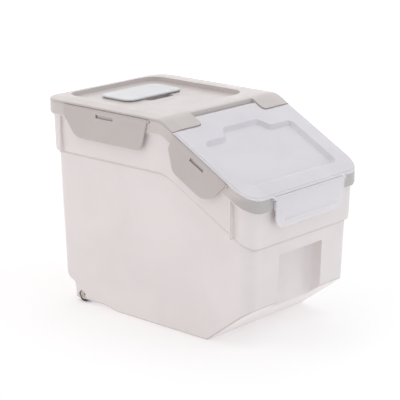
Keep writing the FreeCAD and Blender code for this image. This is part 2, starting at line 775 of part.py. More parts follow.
def ledge_hollow():
    """Hollow under the ledge, between the web, the recess walls and the crossbar."""
    bottom = S.seam_height - web_bottom - S.overlap
    hole = plan("ledge_plan", S.web_width, bottom, top_height - S.top_wall - bottom)
    half = S.panel_width / 2 + S.top_wall
    back = half_length - S.panel_back + S.top_wall
    front = -S.panel_front - S.top_wall
    corners = rectangle(-half, half, front, back, S.panel_corner + S.top_wall)
    kept = prism("recess_walls", level_sketch("recess_walls", bottom, corners), S.overrun)
    front = rectangle(-half_width, half_width, -reach, S.ledge_solid - S.kink_forward)
    front_half = prism("solid_front", level_sketch("solid_front", bottom, front), S.overrun)
    return cut("ledge_hollow", hole, kept, front_half)


def panel_recess():
    """Recess of the top panel, its walls leaning outwards."""
    lean = S.panel_depth * tangent(S.panel_flare)
    half = S.panel_width / 2 - lean
    back = half_length - S.panel_back - lean
    corners = rectangle(-half, half, lean - S.panel_front, back, S.panel_corner - lean)
    return prism("panel_recess", level_sketch("panel_recess", panel_height, corners),
                 S.panel_depth + S.overlap, flare=S.panel_flare)


def trough_sides(wall):
    """Back face, floor and front end of the room round the cover's barrel, inside a wall's thickness."""
    axis_y = on_slope(S.hinge_along, -hinge_below)[0]
    back = axis_y + S.hinge_barrel + S.barrel_room + wall
    floor = -hinge_below - S.hinge_barrel - S.barrel_room - wall
    along = S.hinge_along + S.hinge_barrel + S.barrel_room + S.barrel_front + wall
    return back, floor, along


def barrel_trough():
    """Room round the cover's barrel, open upwards, behind it the crossbar's leaning face."""
    back, floor, along = trough_sides(0)
    axis_z = on_slope(S.hinge_along, -hinge_below)[1]
    high = S.overrun
    corners = [(back + high * tangent(S.crossbar_lean), axis_z + high, 0), (back, axis_z, 0)]
    corners += [(back, slope_line(back, floor), 0), on_slope(along, floor) + (0,)]
    corners += [on_slope(along, high) + (0,)]
    half = S.tongue_width / 2
    return prism("trough", side_sketch("trough", -half, corners), half * 2)


def trough_walls():
    """Block that holds the barrel's room, hanging from the web."""
    back, floor, along = trough_sides(S.rail_wall)
    corners = [(back, S.seam_height - web_bottom + S.overlap, 0), (back, slope_line(back, floor), 0),
               on_slope(along, floor) + (0,), on_slope(along, S.overlap - web_bottom * slope_cos) + (0,)]
    half = S.tongue_width / 2 + S.rail_wall
    return prism("trough_walls", side_sketch("trough_walls", -half, corners), half * 2)


def seal_channel_rib():
    """Rib that closes the seal channel on its inner side."""
    outer = S.lid_seal_start + S.lid_seal_width + S.seat_gap
    ring = cut("seal_rib_ring", plan("seal_rib_outside", outer, 0, S.seam_height),
               plan("seal_rib_inside", outer + S.seal_rib, 0, S.seam_height))
    height = band("seal_rib_height", web_bottom - S.overlap, web_bottom + S.seal_rib_drop)
    return common("seal_rib_shape", ring, height)


def seam_groove():
    """Shallow groove along the seam."""
    around = cut("seam_ring", plan("seam_outside", -S.overlap, 0, top_height),
                 plan("seam_inside", S.groove_depth, 0, top_height))
    return common("seam_groove", around, band("seam_band", -S.groove_height, S.rim_line))


def latch_frames():
    """Name, side, hinge middle, length, slot and end shapes of the four side latches."""
    frames = []
    rear_z = S.seam_height - latch_axis_drop
    slope_y, slope_z = on_slope(S.slope_latch_middle, -latch_axis_drop)
    for word, side in SIDES:
        across = side * latch_axis_across
        frames.append(SimpleNamespace(name="side_latch_%s_rear" % word, side=side, slanted=False,
                                      middle=(across, S.rear_latch_middle, rear_z),
                                      length=S.rear_latch_length, slot=S.rear_slot_length,
                                      back=(S.rear_back_run, S.rear_back_straight, S.rear_back_corner),
                                      front=(S.rear_front_run, S.rear_front_straight,
                                             S.rear_front_corner)))
        frames.append(SimpleNamespace(name="side_latch_%s_front" % word, side=side, slanted=True,
                                      middle=(across, slope_y, slope_z),
                                      length=S.slope_latch_length, slot=S.slope_slot_length,
                                      back=(S.slope_back_run, S.slope_back_straight,
                                            S.slope_back_corner),
                                      front=(S.slope_front_run, S.slope_front_straight,
                                             S.slope_front_corner)))
    return frames


def latch_rod(frame, name, radius, start, length):
    """Round bar along a latch's hinge axis, from a distance off its middle."""
    bar = doc.addObject("Part::Cylinder", name)
    bind(bar, "Radius", radius)
    bind(bar, "Height", length)
    x, y, z = frame.middle
    if frame.slanted:
        lean = 90 - S.slope_angle
        bar.Placement.Rotation = FreeCAD.Rotation(FreeCAD.Vector(-1, 0, 0), lean.value)
        bind(bar, "Placement.Rotation.Angle", lean)
        place(bar, x, y + start * slope_cos, z + start * slope_sin)
    else:
        bar.Placement.Rotation = ALONG_Y
        place(bar, x, y + start, z)
    return bar


def latch_channel(frame):
    """Channel in the rail for a latch's barrel."""
    half = frame.length / 2 + S.latch_room
    return latch_rod(frame, frame.name + "_channel", S.latch_barrel + S.latch_room, -half, half * 2)


def latch_eye_bore(frame):
    """Bore for a latch's pin through both eyes."""
    half = frame.length / 2 + S.latch_room + S.eye_length + S.overlap
    return latch_rod(frame, frame.name + "_eye_bore", S.latch_pin + S.pin_seat_play, -half, half * 2)


def latch_eyes(frame):
    """Two hinge eyes on the rail, one beyond each end of a latch."""
    half = frame.length / 2 + S.latch_room
    low = latch_rod(frame, frame.name + "_eye_low", S.eye_radius, -half - S.eye_length, S.eye_length)
    high = latch_rod(frame, frame.name + "_eye_high", S.eye_radius, half, S.eye_length)
    return [low, high]


def notch_bowl(wall, rise, name):
    """Finger notch in front of the cap, grown by a wall's thickness, up to a rise over the panel."""
    low = S.box_middle - S.cap_width / 2 - S.notch_width + S.notch_under - wall
    high = S.box_middle - S.cap_width / 2 + S.notch_under + wall
    left = S.cap_shift - S.notch_length / 2 - wall
    right = S.cap_shift + S.notch_length / 2 + wall
    bottom = panel_height - S.notch_depth - wall
    corners = rectangle(left, right, low, high, S.notch_corner + wall)
    return prism(name, level_sketch(name, bottom, corners), S.notch_depth + wall + rise)


def box_hole():
    """Hole in the panel that the desiccant box hangs in."""
    half = S.box_length / 2 + S.box_gap
    deep = S.box_width / 2 + S.box_gap
    corners = rectangle(S.cap_shift - half, S.cap_shift + half, S.box_middle - deep, S.box_middle + deep,
                        S.box_corner + S.box_gap)
    return prism("box_hole", level_sketch("box_hole", panel_height - S.overrun, corners), S.overrun * 2)


def cover_seat():
    """Room for the cover: a shallow seat over the rail and a deeper one inside its head."""
    rim = prism("rim_seat", slope_sketch("rim_seat", -S.rim_line * slope_cos, seat_outline(0)), S.overrun)
    slab = prism("deep_slab", slope_sketch("deep_slab", -S.web_drop * slope_cos, seat_outline(0)), S.overrun)
    inside = common("deep_seat", plan("deep_seat_plan", S.rail_head, 0, top_height), slab)
    return [rim, inside]


def scoop_mouth():
    """Mouth in the sloping web."""
    half = S.mouth_width / 2
    corners = rectangle(-half, half, -S.mouth_end, -S.mouth_start, S.mouth_corner)
    return prism("mouth", slope_sketch("mouth", -S.overrun, corners), S.overrun * 2)


def cover_pin_bores():
    """Bores in the lobes for the cover's hinge pins."""
    axis_y, axis_z = on_slope(S.hinge_along, -hinge_below)
    depth = S.cover_pin_seat + S.overlap
    inner = S.tongue_width / 2 - S.overlap
    bores = []
    for word, side in SIDES:
        start = inner if side > 0 else -inner - depth
        bores.append(rod(word + "_cover_pin_bore", S.cover_pin + S.pin_seat_play, depth, ALONG_X,
                         start, axis_y, axis_z))
    return bores


def make_lid():
    """Lid with its rail, ledge, recessed panel, hinge lobes, trough and scoop mouth."""
    hollow = common("lid_inside", plan("lid_inside_plan", S.rail_wall, 0, S.seam_height),
                    band("lid_inside_band", web_bottom, S.rail_height + S.overrun))
    shell = cut("lid_shell", lid_block(), hollow, ledge_hollow())
    shell = fuse("lid_with_trough", shell, trough_walls(), seal_channel_rib(),
                 notch_bowl(S.top_wall, -S.overlap, "notch_wall"))
    shell = cut("lid_carved", shell, barrel_trough(), *cover_seat(), scoop_mouth(), panel_recess(),
                notch_bowl(0, S.overlap, "notch"), box_hole(), seam_groove())
    frames = latch_frames()
    shell = cut("lid_channels", shell, *[latch_channel(frame) for frame in frames])
    eyes = [eye for frame in frames for eye in latch_eyes(frame)]
    shell = fuse("lid_with_eyes", shell, *eyes)
    bores = [latch_eye_bore(frame) for frame in frames]
    return cut("lid", shell, *bores, *cover_pin_bores())


def make_lid_seal():
    """Soft ring in the channel under the lid's rim."""
    ring = cut("lid_seal_ring", plan("lid_seal_outside", S.lid_seal_start, 0, S.seam_height),
               plan("lid_seal_inside", S.lid_seal_start + S.lid_seal_width, 0, S.seam_height))
    return common("lid_seal", ring, band("lid_seal_band", web_bottom, web_bottom + S.lid_seal_height))


# scoop cover


def window_outline(inset):
    """Outline of the cover's window in the slope's plane, with its raised middle."""
    half = S.window_width / 2 - inset
    middle = S.window_middle / 2 - inset
    low = -S.window_end + inset
    shoulder = -S.window_start - inset
    high = -S.window_start + S.window_rise - inset
    out = S.window_corner - inset
    turn = S.window_corner + inset
    slant = S.window_slant
    right = [(half, low, out), (half, shoulder, out), (middle + slant, shoulder, turn), (middle, high, out)]
    left = [(-x, y, rounding) for x, y, rounding in reversed(right)]
    return right + left


def window_pan(inset, depth, name):
    """Flaring pan of the window, from its floor up to the cover's face."""
    spread = depth * tangent(S.window_flare)
    floor = S.cover_wall - depth
    return prism(name, slope_sketch(name, floor, window_outline(spread + inset)), depth, flare=S.window_flare)


def front_latch_axis():
    """Side view point of the front latch's hinge axis."""
    y = -half_length - S.front_latch_out
    z = slope_line(-half_length, 0) - S.front_latch_below
    return y, z


def cover_eyes():
    """Two eyes on the cover's front edge for the front latch's pin."""
    y, z = front_latch_axis()
    face = S.cover_wall - S.cover_step
    clear = -half_length - S.rim_line
    inside = -half_length + S.cover_step_width
    corners = [(y, z, 0), (clear, z, 0), (clear, slope_line(clear, 0), 0), (inside, slope_line(inside, 0), 0),
               (inside, slope_line(inside, face), 0), (-half_length, slope_line(-half_length, face), 0),
               (y, z + S.front_barrel, 0)]
    eyes = []
    for word, side in SIDES:
        inner = S.front_latch_width / 2 + S.latch_room
        start = inner if side > 0 else -inner - S.front_eye
        barrel = rod(word + "_front_eye", S.front_barrel, S.front_eye, ALONG_X, start, y, z)
        block = prism(word + "_front_eye_block", side_sketch(word + "_front_eye_block", start, corners),
                      S.front_eye)
        eyes += [barrel, block]
    return eyes


def cover_plate():
    """Cover's plate, flush with the rail all round, with a lower outer rim."""
    face = prism("cover_face", slope_sketch("cover_face", 0, seat_outline(S.cover_gap)), S.cover_wall)
    plate = common("cover_plate", face, plan("cover_plan", 0, 0, top_height))
    ring = cut("cover_rim_ring", plan("cover_rim_outside", -S.overlap, 0, top_height),
               plan("cover_rim_inside", S.cover_step_width, 0, top_height))
    slab = prism("cover_step_slab", slope_sketch("cover_step_slab", S.cover_wall - S.cover_step,
                                                 seat_outline(0)), S.overrun)
    return cut("cover_stepped", plate, common("cover_rim_cut", ring, slab))


def barrel_bores():
    """Bores in the ends of the cover's barrel for its hinge pins."""
    axis_y, axis_z = on_slope(S.hinge_along, -hinge_below)
    half = S.tongue_width / 2 - S.cover_gap
    depth = S.cover_pin_length - S.cover_pin_seat
    bores = []
    for word, side in SIDES:
        start = half - depth if side > 0 else -half - S.overlap
        bores.append(rod(word + "_barrel_bore", S.cover_pin + S.pin_play, depth + S.overlap, ALONG_X,
                         start, axis_y, axis_z))
    return bores


def make_front_cover():
    """Clear cover: a plate flush with the rail, a recessed window and a barrel on its tongue."""
    wall = S.cover_wall / cosine(S.window_flare)
    pan = window_pan(-wall, S.window_depth + S.cover_wall, "window_outside")
    half = S.tongue_width / 2 - S.cover_gap
    barrel_place = on_slope(S.hinge_along, -hinge_below)
    barrel = rod("cover_barrel", S.hinge_barrel, half * 2, ALONG_X, -half, *barrel_place)
    latch_half = S.front_latch_width / 2 + S.latch_room
    latch_room = rod("front_barrel_room", S.front_barrel + S.latch_room, latch_half * 2, ALONG_X, -latch_half,
                     *front_latch_axis())
    eye_half = latch_half + S.front_eye + S.overlap
    latch_bore = rod("front_eye_bore", S.front_pin + S.pin_seat_play, eye_half * 2, ALONG_X, -eye_half,
                     *front_latch_axis())
    cover = fuse("cover_solid", cover_plate(), pan, barrel, *cover_eyes())
    return cut("front_cover", cover, window_pan(0, S.window_depth, "window_inside"), latch_room, latch_bore,
               *barrel_bores())


def make_cover_seal():
    """Soft ring under the cover, round the mouth."""
    lift = S.seat_gap - S.web_drop * slope_cos
    rings = []
    for word, extra in (("outside", S.cover_seal_width), ("inside", 0)):
        grow = S.cover_seal_margin + extra
        half = S.mouth_width / 2 + grow
        corners = rectangle(-half, half, -S.mouth_end - grow, -S.mouth_start + grow, S.mouth_corner + grow)
        rings.append(prism("cover_seal_" + word, slope_sketch("cover_seal_" + word, lift, corners), -lift))
    return cut("cover_seal", *rings)


def make_cover_pins():
    """Two pins that carry the cover's barrel between the lobes."""
    axis_y, axis_z = on_slope(S.hinge_along, -hinge_below)
    pins = []
    for word, side in SIDES:
        body = new_body("cover_hinge_pin_" + word)
        draw_circle(body_sketch(body, "section", "YZ_Plane"), 0, 0, S.cover_pin)
        pad(body, "bar", body.Group[-1], S.cover_pin_length)
        outer = S.tongue_width / 2 + S.cover_pin_seat
        start = outer - S.cover_pin_length if side > 0 else -outer
        place(body, start, axis_y, axis_z)
        pins.append(body)
    return pins


# latches


def make_side_latch(frame):
    """Side latch: barrel, plate with slanted ends, a slot and a hook, hinged along its top."""
    body = new_body(frame.name)
    side = frame.side
    half = frame.length / 2
    inner = S.latch_barrel - S.latch_wall
    run, straight, rounding = frame.back
    front_run, front_straight, front_rounding = frame.front
    plate = body_sketch(body, "plate_outline", "YZ_Plane", side * inner)
    draw_outline(plate, [(-half, 0, 0), (-half, -front_straight, S.latch_shoulder),
                         (-half + front_run, -S.latch_depth, front_rounding),
                         (half - run, -S.latch_depth, rounding),
                         (half, -straight, S.latch_shoulder), (half, 0, 0)])
    pad(body, "plate", plate, S.latch_wall, reverse=side < 0)
    slot = body_sketch(body, "slot_outline", "YZ_Plane", side * inner)
    low = -S.latch_slot_drop - S.latch_slot_width / 2
    high = low + S.latch_slot_width
    draw_outline(slot, rectangle(-frame.slot / 2, frame.slot / 2, low, high, S.latch_edge))
    plate_cut = pocket(body, "slot", slot, S.latch_wall, reverse=side > 0)

    def outer_edge(_, edge):
        """Edges round the plate's outer face, below its slot."""
        box = edge.BoundBox
        outer = side * S.latch_barrel.value
        on_face = abs(box.XMin - outer) < TOUCH and abs(box.XMax - outer) < TOUCH
        return on_face and box.ZMin < low.value - TOUCH

    body_fillet(body, "edge", plate_cut, S.latch_edge, outer_edge)
    barrel = body_sketch(body, "barrel_outline", "XZ_Plane")
    draw_circle(barrel, 0, 0, S.latch_barrel)
    pad(body, "barrel", barrel, frame.length, middle=True)
    hook = body_sketch(body, "hook_outline", "XZ_Plane")
    top = latch_axis_drop - hook_drop * (slope_cos if frame.slanted else 1)
    tip = S.hook_gap - S.latch_axis_out - S.bead_inset
    left, right = (side * tip, side * (inner + S.overlap))[::side]
    draw_outline(hook, rectangle(left, right, top - S.hook_height, top))
    pad(body, "hook", hook, S.hook_length, middle=True)
    bore = body_sketch(body, "bore_outline", "XZ_Plane")
    draw_circle(bore, 0, 0, S.latch_pin + S.pin_play)
    pocket(body, "bore", bore, frame.length, middle=True)
    if frame.slanted:
        lean_with_slope(body)
    place(body, *frame.middle)
    return body


def make_latch_pin(frame):
    """Pin of one side latch, from eye to eye."""
    body = new_body(frame.name.replace("side_latch", "latch_pin"))
    draw_circle(body_sketch(body, "section", "XZ_Plane"), 0, 0, S.latch_pin)
    pad(body, "bar", body.Group[-1], frame.length + 2 * (S.latch_room + S.eye_length), middle=True)
    if frame.slanted:
        lean_with_slope(body)
    place(body, *frame.middle)
    return body


def make_front_latch():
    """Clear front latch: barrel, plate with end walls, a slanted outer lip and a hook behind."""
    body = new_body("front_latch")
    half = S.front_latch_width / 2
    face = -S.front_barrel
    tip = S.front_latch_out - S.hook_gap
    plate = body_sketch(body, "plate_outline", "XZ_Plane", S.front_barrel - S.front_latch_wall)
    draw_outline(plate, [(-half, 0, 0), (-half, -S.front_latch_depth, S.front_latch_corner),
                         (half, -S.front_latch_depth, S.front_latch_corner), (half, 0, 0)])
    pad(body, "plate", plate, S.front_latch_wall)
    barrel = body_sketch(body, "barrel_outline", "YZ_Plane")
    draw_circle(barrel, 0, 0, S.front_barrel)
    pad(body, "barrel", barrel, S.front_latch_width, middle=True)
    for word, side in SIDES:
        end_wall = body_sketch(body, word + "_wall_outline", "YZ_Plane", side * half)
        draw_outline(end_wall, rectangle(face + S.overlap, tip, S.front_latch_below - S.rail_height,
                                         -S.front_barrel - S.front_return))
        pad(body, word + "_wall", end_wall, S.front_return, reverse=side > 0)
    lip = body_sketch(body, "lip_section", "YZ_Plane")
    low = -S.lip_drop - S.lip_height
    draw_outline(lip, [(face + S.overlap, -S.lip_drop, 0), (face, -S.lip_drop, 0), (face - S.lip_proud, low, 0),
                       (face + S.overlap, low, 0)])
    pad(body, "lip", lip, S.lip_width, middle=True)
    hook = body_sketch(body, "hook_outline", "YZ_Plane")
    top = S.front_latch_below - S.rail_height - S.hook_gap
    draw_outline(hook, rectangle(face + S.overlap, tip, top - S.hook_height, top))
    pad(body, "hook", hook, S.front_hook_length, middle=True)
    bore = body_sketch(body, "bore_outline", "YZ_Plane")
    draw_circle(bore, 0, 0, S.front_pin + S.pin_play)
    pocket(body, "bore", bore, S.front_latch_width, middle=True)
    y, z = front_latch_axis()
    place(body, 0, y, z)
    return body


def make_front_latch_pin():
    """Pin of the front latch, from eye to eye of the cover."""
    body = new_body("front_latch_pin")
    draw_circle(body_sketch(body, "section", "YZ_Plane"), 0, 0, S.front_pin)
    length = S.front_latch_width + 2 * (S.latch_room + S.front_eye)
    pad(body, "bar", body.Group[-1], length, middle=True)
    y, z = front_latch_axis()
    place(body, 0, y, z)
    return body


# desiccant box and cap


def make_desiccant_box():
    """Vented box that hangs by its flange in the panel's hole."""
    body = new_body("desiccant_box")
    half = S.box_length / 2
    deep = S.box_width / 2
    flange = body_sketch(body, "flange_outline", "XY_Plane")
    grow = S.box_flange
    draw_outline(flange, rectangle(-half - grow, half + grow, -deep - grow, deep + grow, S.box_corner + grow))
    pad(body, "flange", flange, S.box_flange_height)
    cup = body_sketch(body, "cup_outline", "XY_Plane")
    draw_outline(cup, rectangle(-half, half, -deep, deep, S.box_corner))
    pad(body, "cup", cup, S.box_depth, reverse=True)
    room = body_sketch(body, "room_outline", "XY_Plane", S.box_flange_height)
    inset = S.box_wall
    draw_outline(room, rectangle(-half + inset, half - inset, -deep + inset, deep - inset,
                                 S.box_corner - inset))
    pocket(body, "room", room, S.box_depth + S.box_flange_height - S.box_wall)
    vent = body_sketch(body, "vent_outline", "XY_Plane", -S.box_depth)
    middle = (1 - VENTS) / 2 * S.vent_pitch
    vent_half = S.vent_width / 2
    draw_outline(vent, rectangle(middle - vent_half, middle + vent_half, -S.vent_length / 2,
                                 S.vent_length / 2, S.vent_corner))
    first = pocket(body, "vent", vent, S.box_wall, reverse=True)
    pattern = body.newObject("PartDesign::LinearPattern", "desiccant_box_vents")
    pattern.Originals = [first]
    pattern.Direction = (vent, ["H_Axis"])
    pattern.Occurrences = VENTS
    bind(pattern, "Length", (VENTS - 1) * S.vent_pitch)
    body.Tip = pattern
    place(body, S.cap_shift, S.box_middle, panel_height)
    return body


def make_desiccant_cap():
    """Cap with a rounded edge and a plug that fits inside the desiccant box."""
    body = new_body("desiccant_cap")
    half = S.cap_length / 2
    deep = S.cap_width / 2
    top = body_sketch(body, "top_outline", "XY_Plane")
    draw_outline(top, rectangle(-half, half, -deep, deep, S.cap_corner))
    disc = pad(body, "top", top, S.cap_height)

    def upper_edge(_, edge):
        """Edges round the cap's upper face."""
        return edge.BoundBox.ZMin > S.cap_height.value - TOUCH

    body_fillet(body, "edge", disc, S.cap_round, upper_edge)
    inset = S.box_wall + S.cap_gap
    plug_half = S.box_length / 2 - inset
    plug_deep = S.box_width / 2 - inset
    plug = body_sketch(body, "plug_outline", "XY_Plane")
    draw_outline(plug, rectangle(-plug_half, plug_half, -plug_deep, plug_deep, S.box_corner - inset))
    pad(body, "plug", plug, S.cap_plug, reverse=True)
    hollow = body_sketch(body, "hollow_outline", "XY_Plane", -S.cap_plug)
    wall = S.box_wall
    draw_outline(hollow, rectangle(-plug_half + wall, plug_half - wall, -plug_deep + wall, plug_deep - wall,
                                   S.box_corner - inset - wall))
    pocket(body, "hollow", hollow, S.cap_plug, reverse=True)
    place(body, S.cap_shift, S.box_middle, panel_height + S.box_flange_height + S.cap_gap)
    return body


# wheels


def wheel_place(body, side):
    """Puts a wheel piece on its axis with its own x pointing outwards from the wheel's inner face."""
    inner = S.wheel_face - S.wheel_width
    place(body, inner if side > 0 else -S.wheel_face, S.wheel_place, S.wheel_radius)


def make_wheel(word, side):
    """Wheel hub with a bore for its axle and a shallow dish in its outer face."""
    body = new_body("wheel_" + word)
    bore = S.axle_radius + S.pin_play
    lip = S.hub_radius - S.hub_lip
    inner, outer = (0, S.wheel_width)[::side]
    sunk = outer - side * S.hub_dish
    corners = [(inner, bore, 0), (sunk, bore, 0), (sunk, lip, 0), (outer, lip, 0), (outer, S.hub_radius, 0),
               (inner, S.hub_radius, 0)]
    revolve(body, "turned", draw_outline(body_sketch(body, "half_section", "XY_Plane"), corners))
    wheel_place(body, side)
    return body


def make_tyre(word, side):
    """Soft tyre on a hub, bevelled on both edges."""
    body = new_body("tyre_" + word)
    edge = S.tyre_edge
    width = S.wheel_width
    tread = S.wheel_radius
    corners = [(0, S.hub_radius, 0), (width, S.hub_radius, 0), (width, tread - edge, 0)]
    corners += [(width - edge, tread, 0), (edge, tread, 0), (0, tread - edge, 0)]
    revolve(body, "turned", draw_outline(body_sketch(body, "half_section", "XY_Plane"), corners))
    wheel_place(body, side)
    return body


def make_axle(word, side):
    """Axle pin fixed in the tub beside its wheel room."""
    body = new_body("axle_" + word)
    draw_circle(body_sketch(body, "section", "YZ_Plane"), 0, 0, S.axle_radius)
    seat = S.wheel_face - S.wheel_width - S.wheel_room - S.axle_seat
    length = S.wheel_face - S.axle_short - seat
    pad(body, "bar", body.Group[-1], length)
    place(body, seat if side > 0 else -seat - length, S.wheel_place, S.wheel_radius)
    return body


def make_pieces():
    """All the container's pieces."""
    pieces = [make_tub(), make_lid(), make_lid_seal(), make_front_cover(), make_cover_seal()]
    pieces += make_cover_pins()
    pieces += [make_front_latch(), make_front_latch_pin()]
    for frame in latch_frames():
        pieces += [make_side_latch(frame), make_latch_pin(frame)]
    pieces += [make_desiccant_box(), make_desiccant_cap()]
    for word, side in SIDES:
        pieces += [make_wheel(word, side), make_tyre(word, side), make_axle(word, side)]
    return pieces


def check(pieces):
    """Stops if any object failed or any piece isn't one sound solid or more."""
    failed = [item.Name for item in doc.Objects if "Invalid" in item.State or "Error" in item.State]
    if failed:
        raise RuntimeError("failed objects: " + ", ".join(failed))
    for piece in pieces:
        shape = piece.Shape
        if shape.isNull() or not shape.isValid() or not shape.Solids:
            raise RuntimeError("unsound shape: " + piece.Name)


def write(pieces):
    """Writes each piece to its own file."""
    os.makedirs("parts", exist_ok=True)
    for piece in pieces:
        piece.Shape.exportStep("parts/" + piece.Label + ".step")
        print(piece.Label, len(piece.Shape.Solids), round(piece.Shape.Volume / 1000, 2))


pieces = make_pieces()
doc.recompute()
check(pieces)
write(pieces)
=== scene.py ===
import math

import bpy
import numpy as np
from bpy.props import FloatProperty, FloatVectorProperty, IntProperty, PointerProperty
from mathutils import Matrix, Vector


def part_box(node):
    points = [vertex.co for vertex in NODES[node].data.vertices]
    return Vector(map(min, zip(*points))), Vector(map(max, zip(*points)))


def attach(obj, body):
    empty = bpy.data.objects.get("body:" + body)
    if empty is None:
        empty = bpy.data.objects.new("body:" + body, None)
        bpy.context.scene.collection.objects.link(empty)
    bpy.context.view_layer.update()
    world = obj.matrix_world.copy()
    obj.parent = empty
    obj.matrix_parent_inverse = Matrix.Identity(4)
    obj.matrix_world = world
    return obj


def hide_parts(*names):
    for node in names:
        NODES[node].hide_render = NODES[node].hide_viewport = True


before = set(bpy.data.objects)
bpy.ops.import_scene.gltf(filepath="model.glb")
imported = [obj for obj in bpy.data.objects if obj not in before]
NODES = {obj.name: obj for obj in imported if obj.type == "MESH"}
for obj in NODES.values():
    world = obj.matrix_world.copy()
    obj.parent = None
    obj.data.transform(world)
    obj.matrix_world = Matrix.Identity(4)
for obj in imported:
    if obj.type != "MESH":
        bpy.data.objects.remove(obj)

bl_info = {
    "name": "Pet food container",
    "version": (1, 0, 0),
    "blender": (4, 5, 0),
    "location": "3D view, sidebar, Container tab",
    "description": "Plastics, seals, tyres and stage of a pet food container with a scoop cover",
    "category": "Object",
}

SIDES = (("left", -1), ("right", 1))
WHITE = (1.0, 1.0, 1.0)


def colour_prop(name, text, red, green, blue):
    """Colour property written as it shows on a screen."""
    return FloatVectorProperty(name=name, description=text, subtype="COLOR_GAMMA", size=3, min=0.0, max=1.0,
                               default=(red, green, blue))


def length_prop(name, text, value):
    """Length property in metres."""
    return FloatProperty(name=name, description=text, unit="LENGTH", precision=5, default=value)


def angle_prop(name, text, degrees):
    """Angle property, its default written in degrees."""
    return FloatProperty(name=name, description=text, unit="ROTATION", default=math.radians(degrees))


class ContainerFinish(bpy.types.PropertyGroup):
    """Colours and surface sizes of the container's materials."""

    tub: colour_prop("Tub", "Body of the tub", 0.918, 0.892, 0.890)
    lid: colour_prop("Lid", "Lid with its rail, ledge and panel", 0.812, 0.782, 0.772)
    # painted shade: grey for the rail's low front under the cover's overhang
    front_rail_shade: colour_prop("Front rail shade", "Painted shade on the rail round the lid's low front", 0.735, 0.718, 0.714)
    latch: colour_prop("Side latches", "Side latches", 0.778, 0.746, 0.736)
    cap: colour_prop("Cap", "Cap of the desiccant box", 0.885, 0.890, 0.900)
    box: colour_prop("Box", "Desiccant box under the panel", 0.900, 0.900, 0.895)
    clear: colour_prop("Clear plastic", "Scoop cover and front latch", 0.975, 0.960, 0.980)
    seal: colour_prop("Seals", "Silicone seals", 0.860, 0.860, 0.850)
    hub: colour_prop("Hubs", "Wheel hubs", 0.880, 0.860, 0.825)
    tyre: colour_prop("Tyres", "Wheel tyres", 0.300, 0.280, 0.260)
    steel: colour_prop("Steel", "Pins and axles", 0.620, 0.620, 0.620)
    edge_softness: length_prop("Edge softness", "Radius that softens every moulded edge", 0.0009)
    grain_size: length_prop("Grain size", "Grain moulded into the plastic", 0.0007)


class ContainerSizes(bpy.types.PropertyGroup):
    """Sizes of the tyres and seals."""

    tread_grooves: IntProperty(name="Tread grooves", description="Grooves round a tyre", default=30)
    tread_depth: length_prop("Tread depth", "Depth of a tread groove", 0.0005)
    tyre_bore: length_prop("Tyre bore", "Radius of the hub that a tyre sits on", 0.0064)
    slope: angle_prop("Slope", "Slope of the lid's front below level", 29.0)
    kink_forward: length_prop("Kink forward", "Centre to the kink where the lid's slope starts", 0.037)
    kink_radius: length_prop("Kink radius", "Rounding of that kink", 0.030)
    lid_seal_width: length_prop("Lid seal width", "Width of the seal under the lid's rim", 0.005)
    lid_seal_height: length_prop("Lid seal height", "Height of the seal under the lid's rim", 0.003)
    lid_seal_corner: length_prop("Lid seal corner", "Outer corner radius of the lid's seal", 0.0253)
    cover_seal_width: length_prop("Cover seal width", "Width of the seal under the cover", 0.0045)
    cover_seal_corner: length_prop("Cover seal corner", "Outer corner radius of the cover's seal", 0.0221)


class ContainerStage(bpy.types.PropertyGroup):
    """Floor, lamps and camera."""

    floor_size: length_prop("Floor size", "Side of the square floor", 24.0)
    floor: colour_prop("Floor", "Floor and backdrop", 1.0, 1.0, 1.0)
    floor_bounce: FloatProperty(name="Floor bounce", description="Share of the light the floor sends back",
                                default=0.88)
    floor_glow: FloatProperty(name="Floor glow", description="Level of the lit table under the container",
                              default=0.40)
    floor_lift: FloatProperty(name="Floor lift", default=0.25,
                              description="What the camera sees on the floor beyond its light")
    sky_level: FloatProperty(name="Sky level", description="Level of the even light from all round",
                             default=0.56)
    camera_side: FloatProperty(name="Camera side", default=0.5,
                               description="Share of that light that comes from the open side")
    key_power: FloatProperty(name="Key power", description="Power of the lamp at the left", unit="POWER",
                             default=10.0)
    fill_power: FloatProperty(name="Fill power", description="Power of the lamp in front", unit="POWER",
                              default=10.0)
    top_power: FloatProperty(name="Top power", description="Power of the lamp overhead", unit="POWER",
                             default=24.0)
    camera_turn: angle_prop("Camera turn", "Camera's angle round the container", -48.52)
    camera_rise: angle_prop("Camera rise", "Camera's angle above the floor", 15.52)
    camera_distance: length_prop("Camera distance", "Camera to the point it looks at", 2.1619)
    camera_target: FloatVectorProperty(name="Camera target", description="Point the camera looks at",
                                       subtype="TRANSLATION", unit="LENGTH", size=3,
                                       default=(0.0, 0.00115, 0.15534))
    lens: FloatProperty(name="Lens", description="Focal length in millimetres", default=138.44)


# colours and node helpers


def linear(colour):
    """Turns a screen colour into the linear one that shaders use, by the usual two-part curve."""
    values = np.array(colour[:3])
    low = values / 12.92
    high = ((values + 0.055) / 1.055) ** 2.4
    return tuple(np.where(values <= 0.04045, low, high)) + (1.0,)


def node(tree, kind, place, **inputs):
    """Adds a shader node with some inputs set or linked; a name's underscores stand for spaces."""
    made = tree.nodes.new(kind)
    made.location = (place[0] * 200, place[1] * 180)
    for name, value in inputs.items():
        socket = made.inputs[name.replace("_", " ")]
        connect(tree, value, socket)
    return made


def connect(tree, value, socket):
    """Links an output to a socket, or sets the socket to a plain value."""
    if isinstance(value, bpy.types.NodeSocket):
        tree.links.new(value, socket)
    else:
        socket.default_value = value


def math_node(tree, operation, place, first, second=0.0, clamp=False):
    """One sum of two values."""
    made = tree.nodes.new("ShaderNodeMath")
    made.operation = operation
    made.use_clamp = clamp
    made.location = (place[0] * 200, place[1] * 180)
    connect(tree, first, made.inputs[0])
    connect(tree, second, made.inputs[1])
    return made.outputs[0]


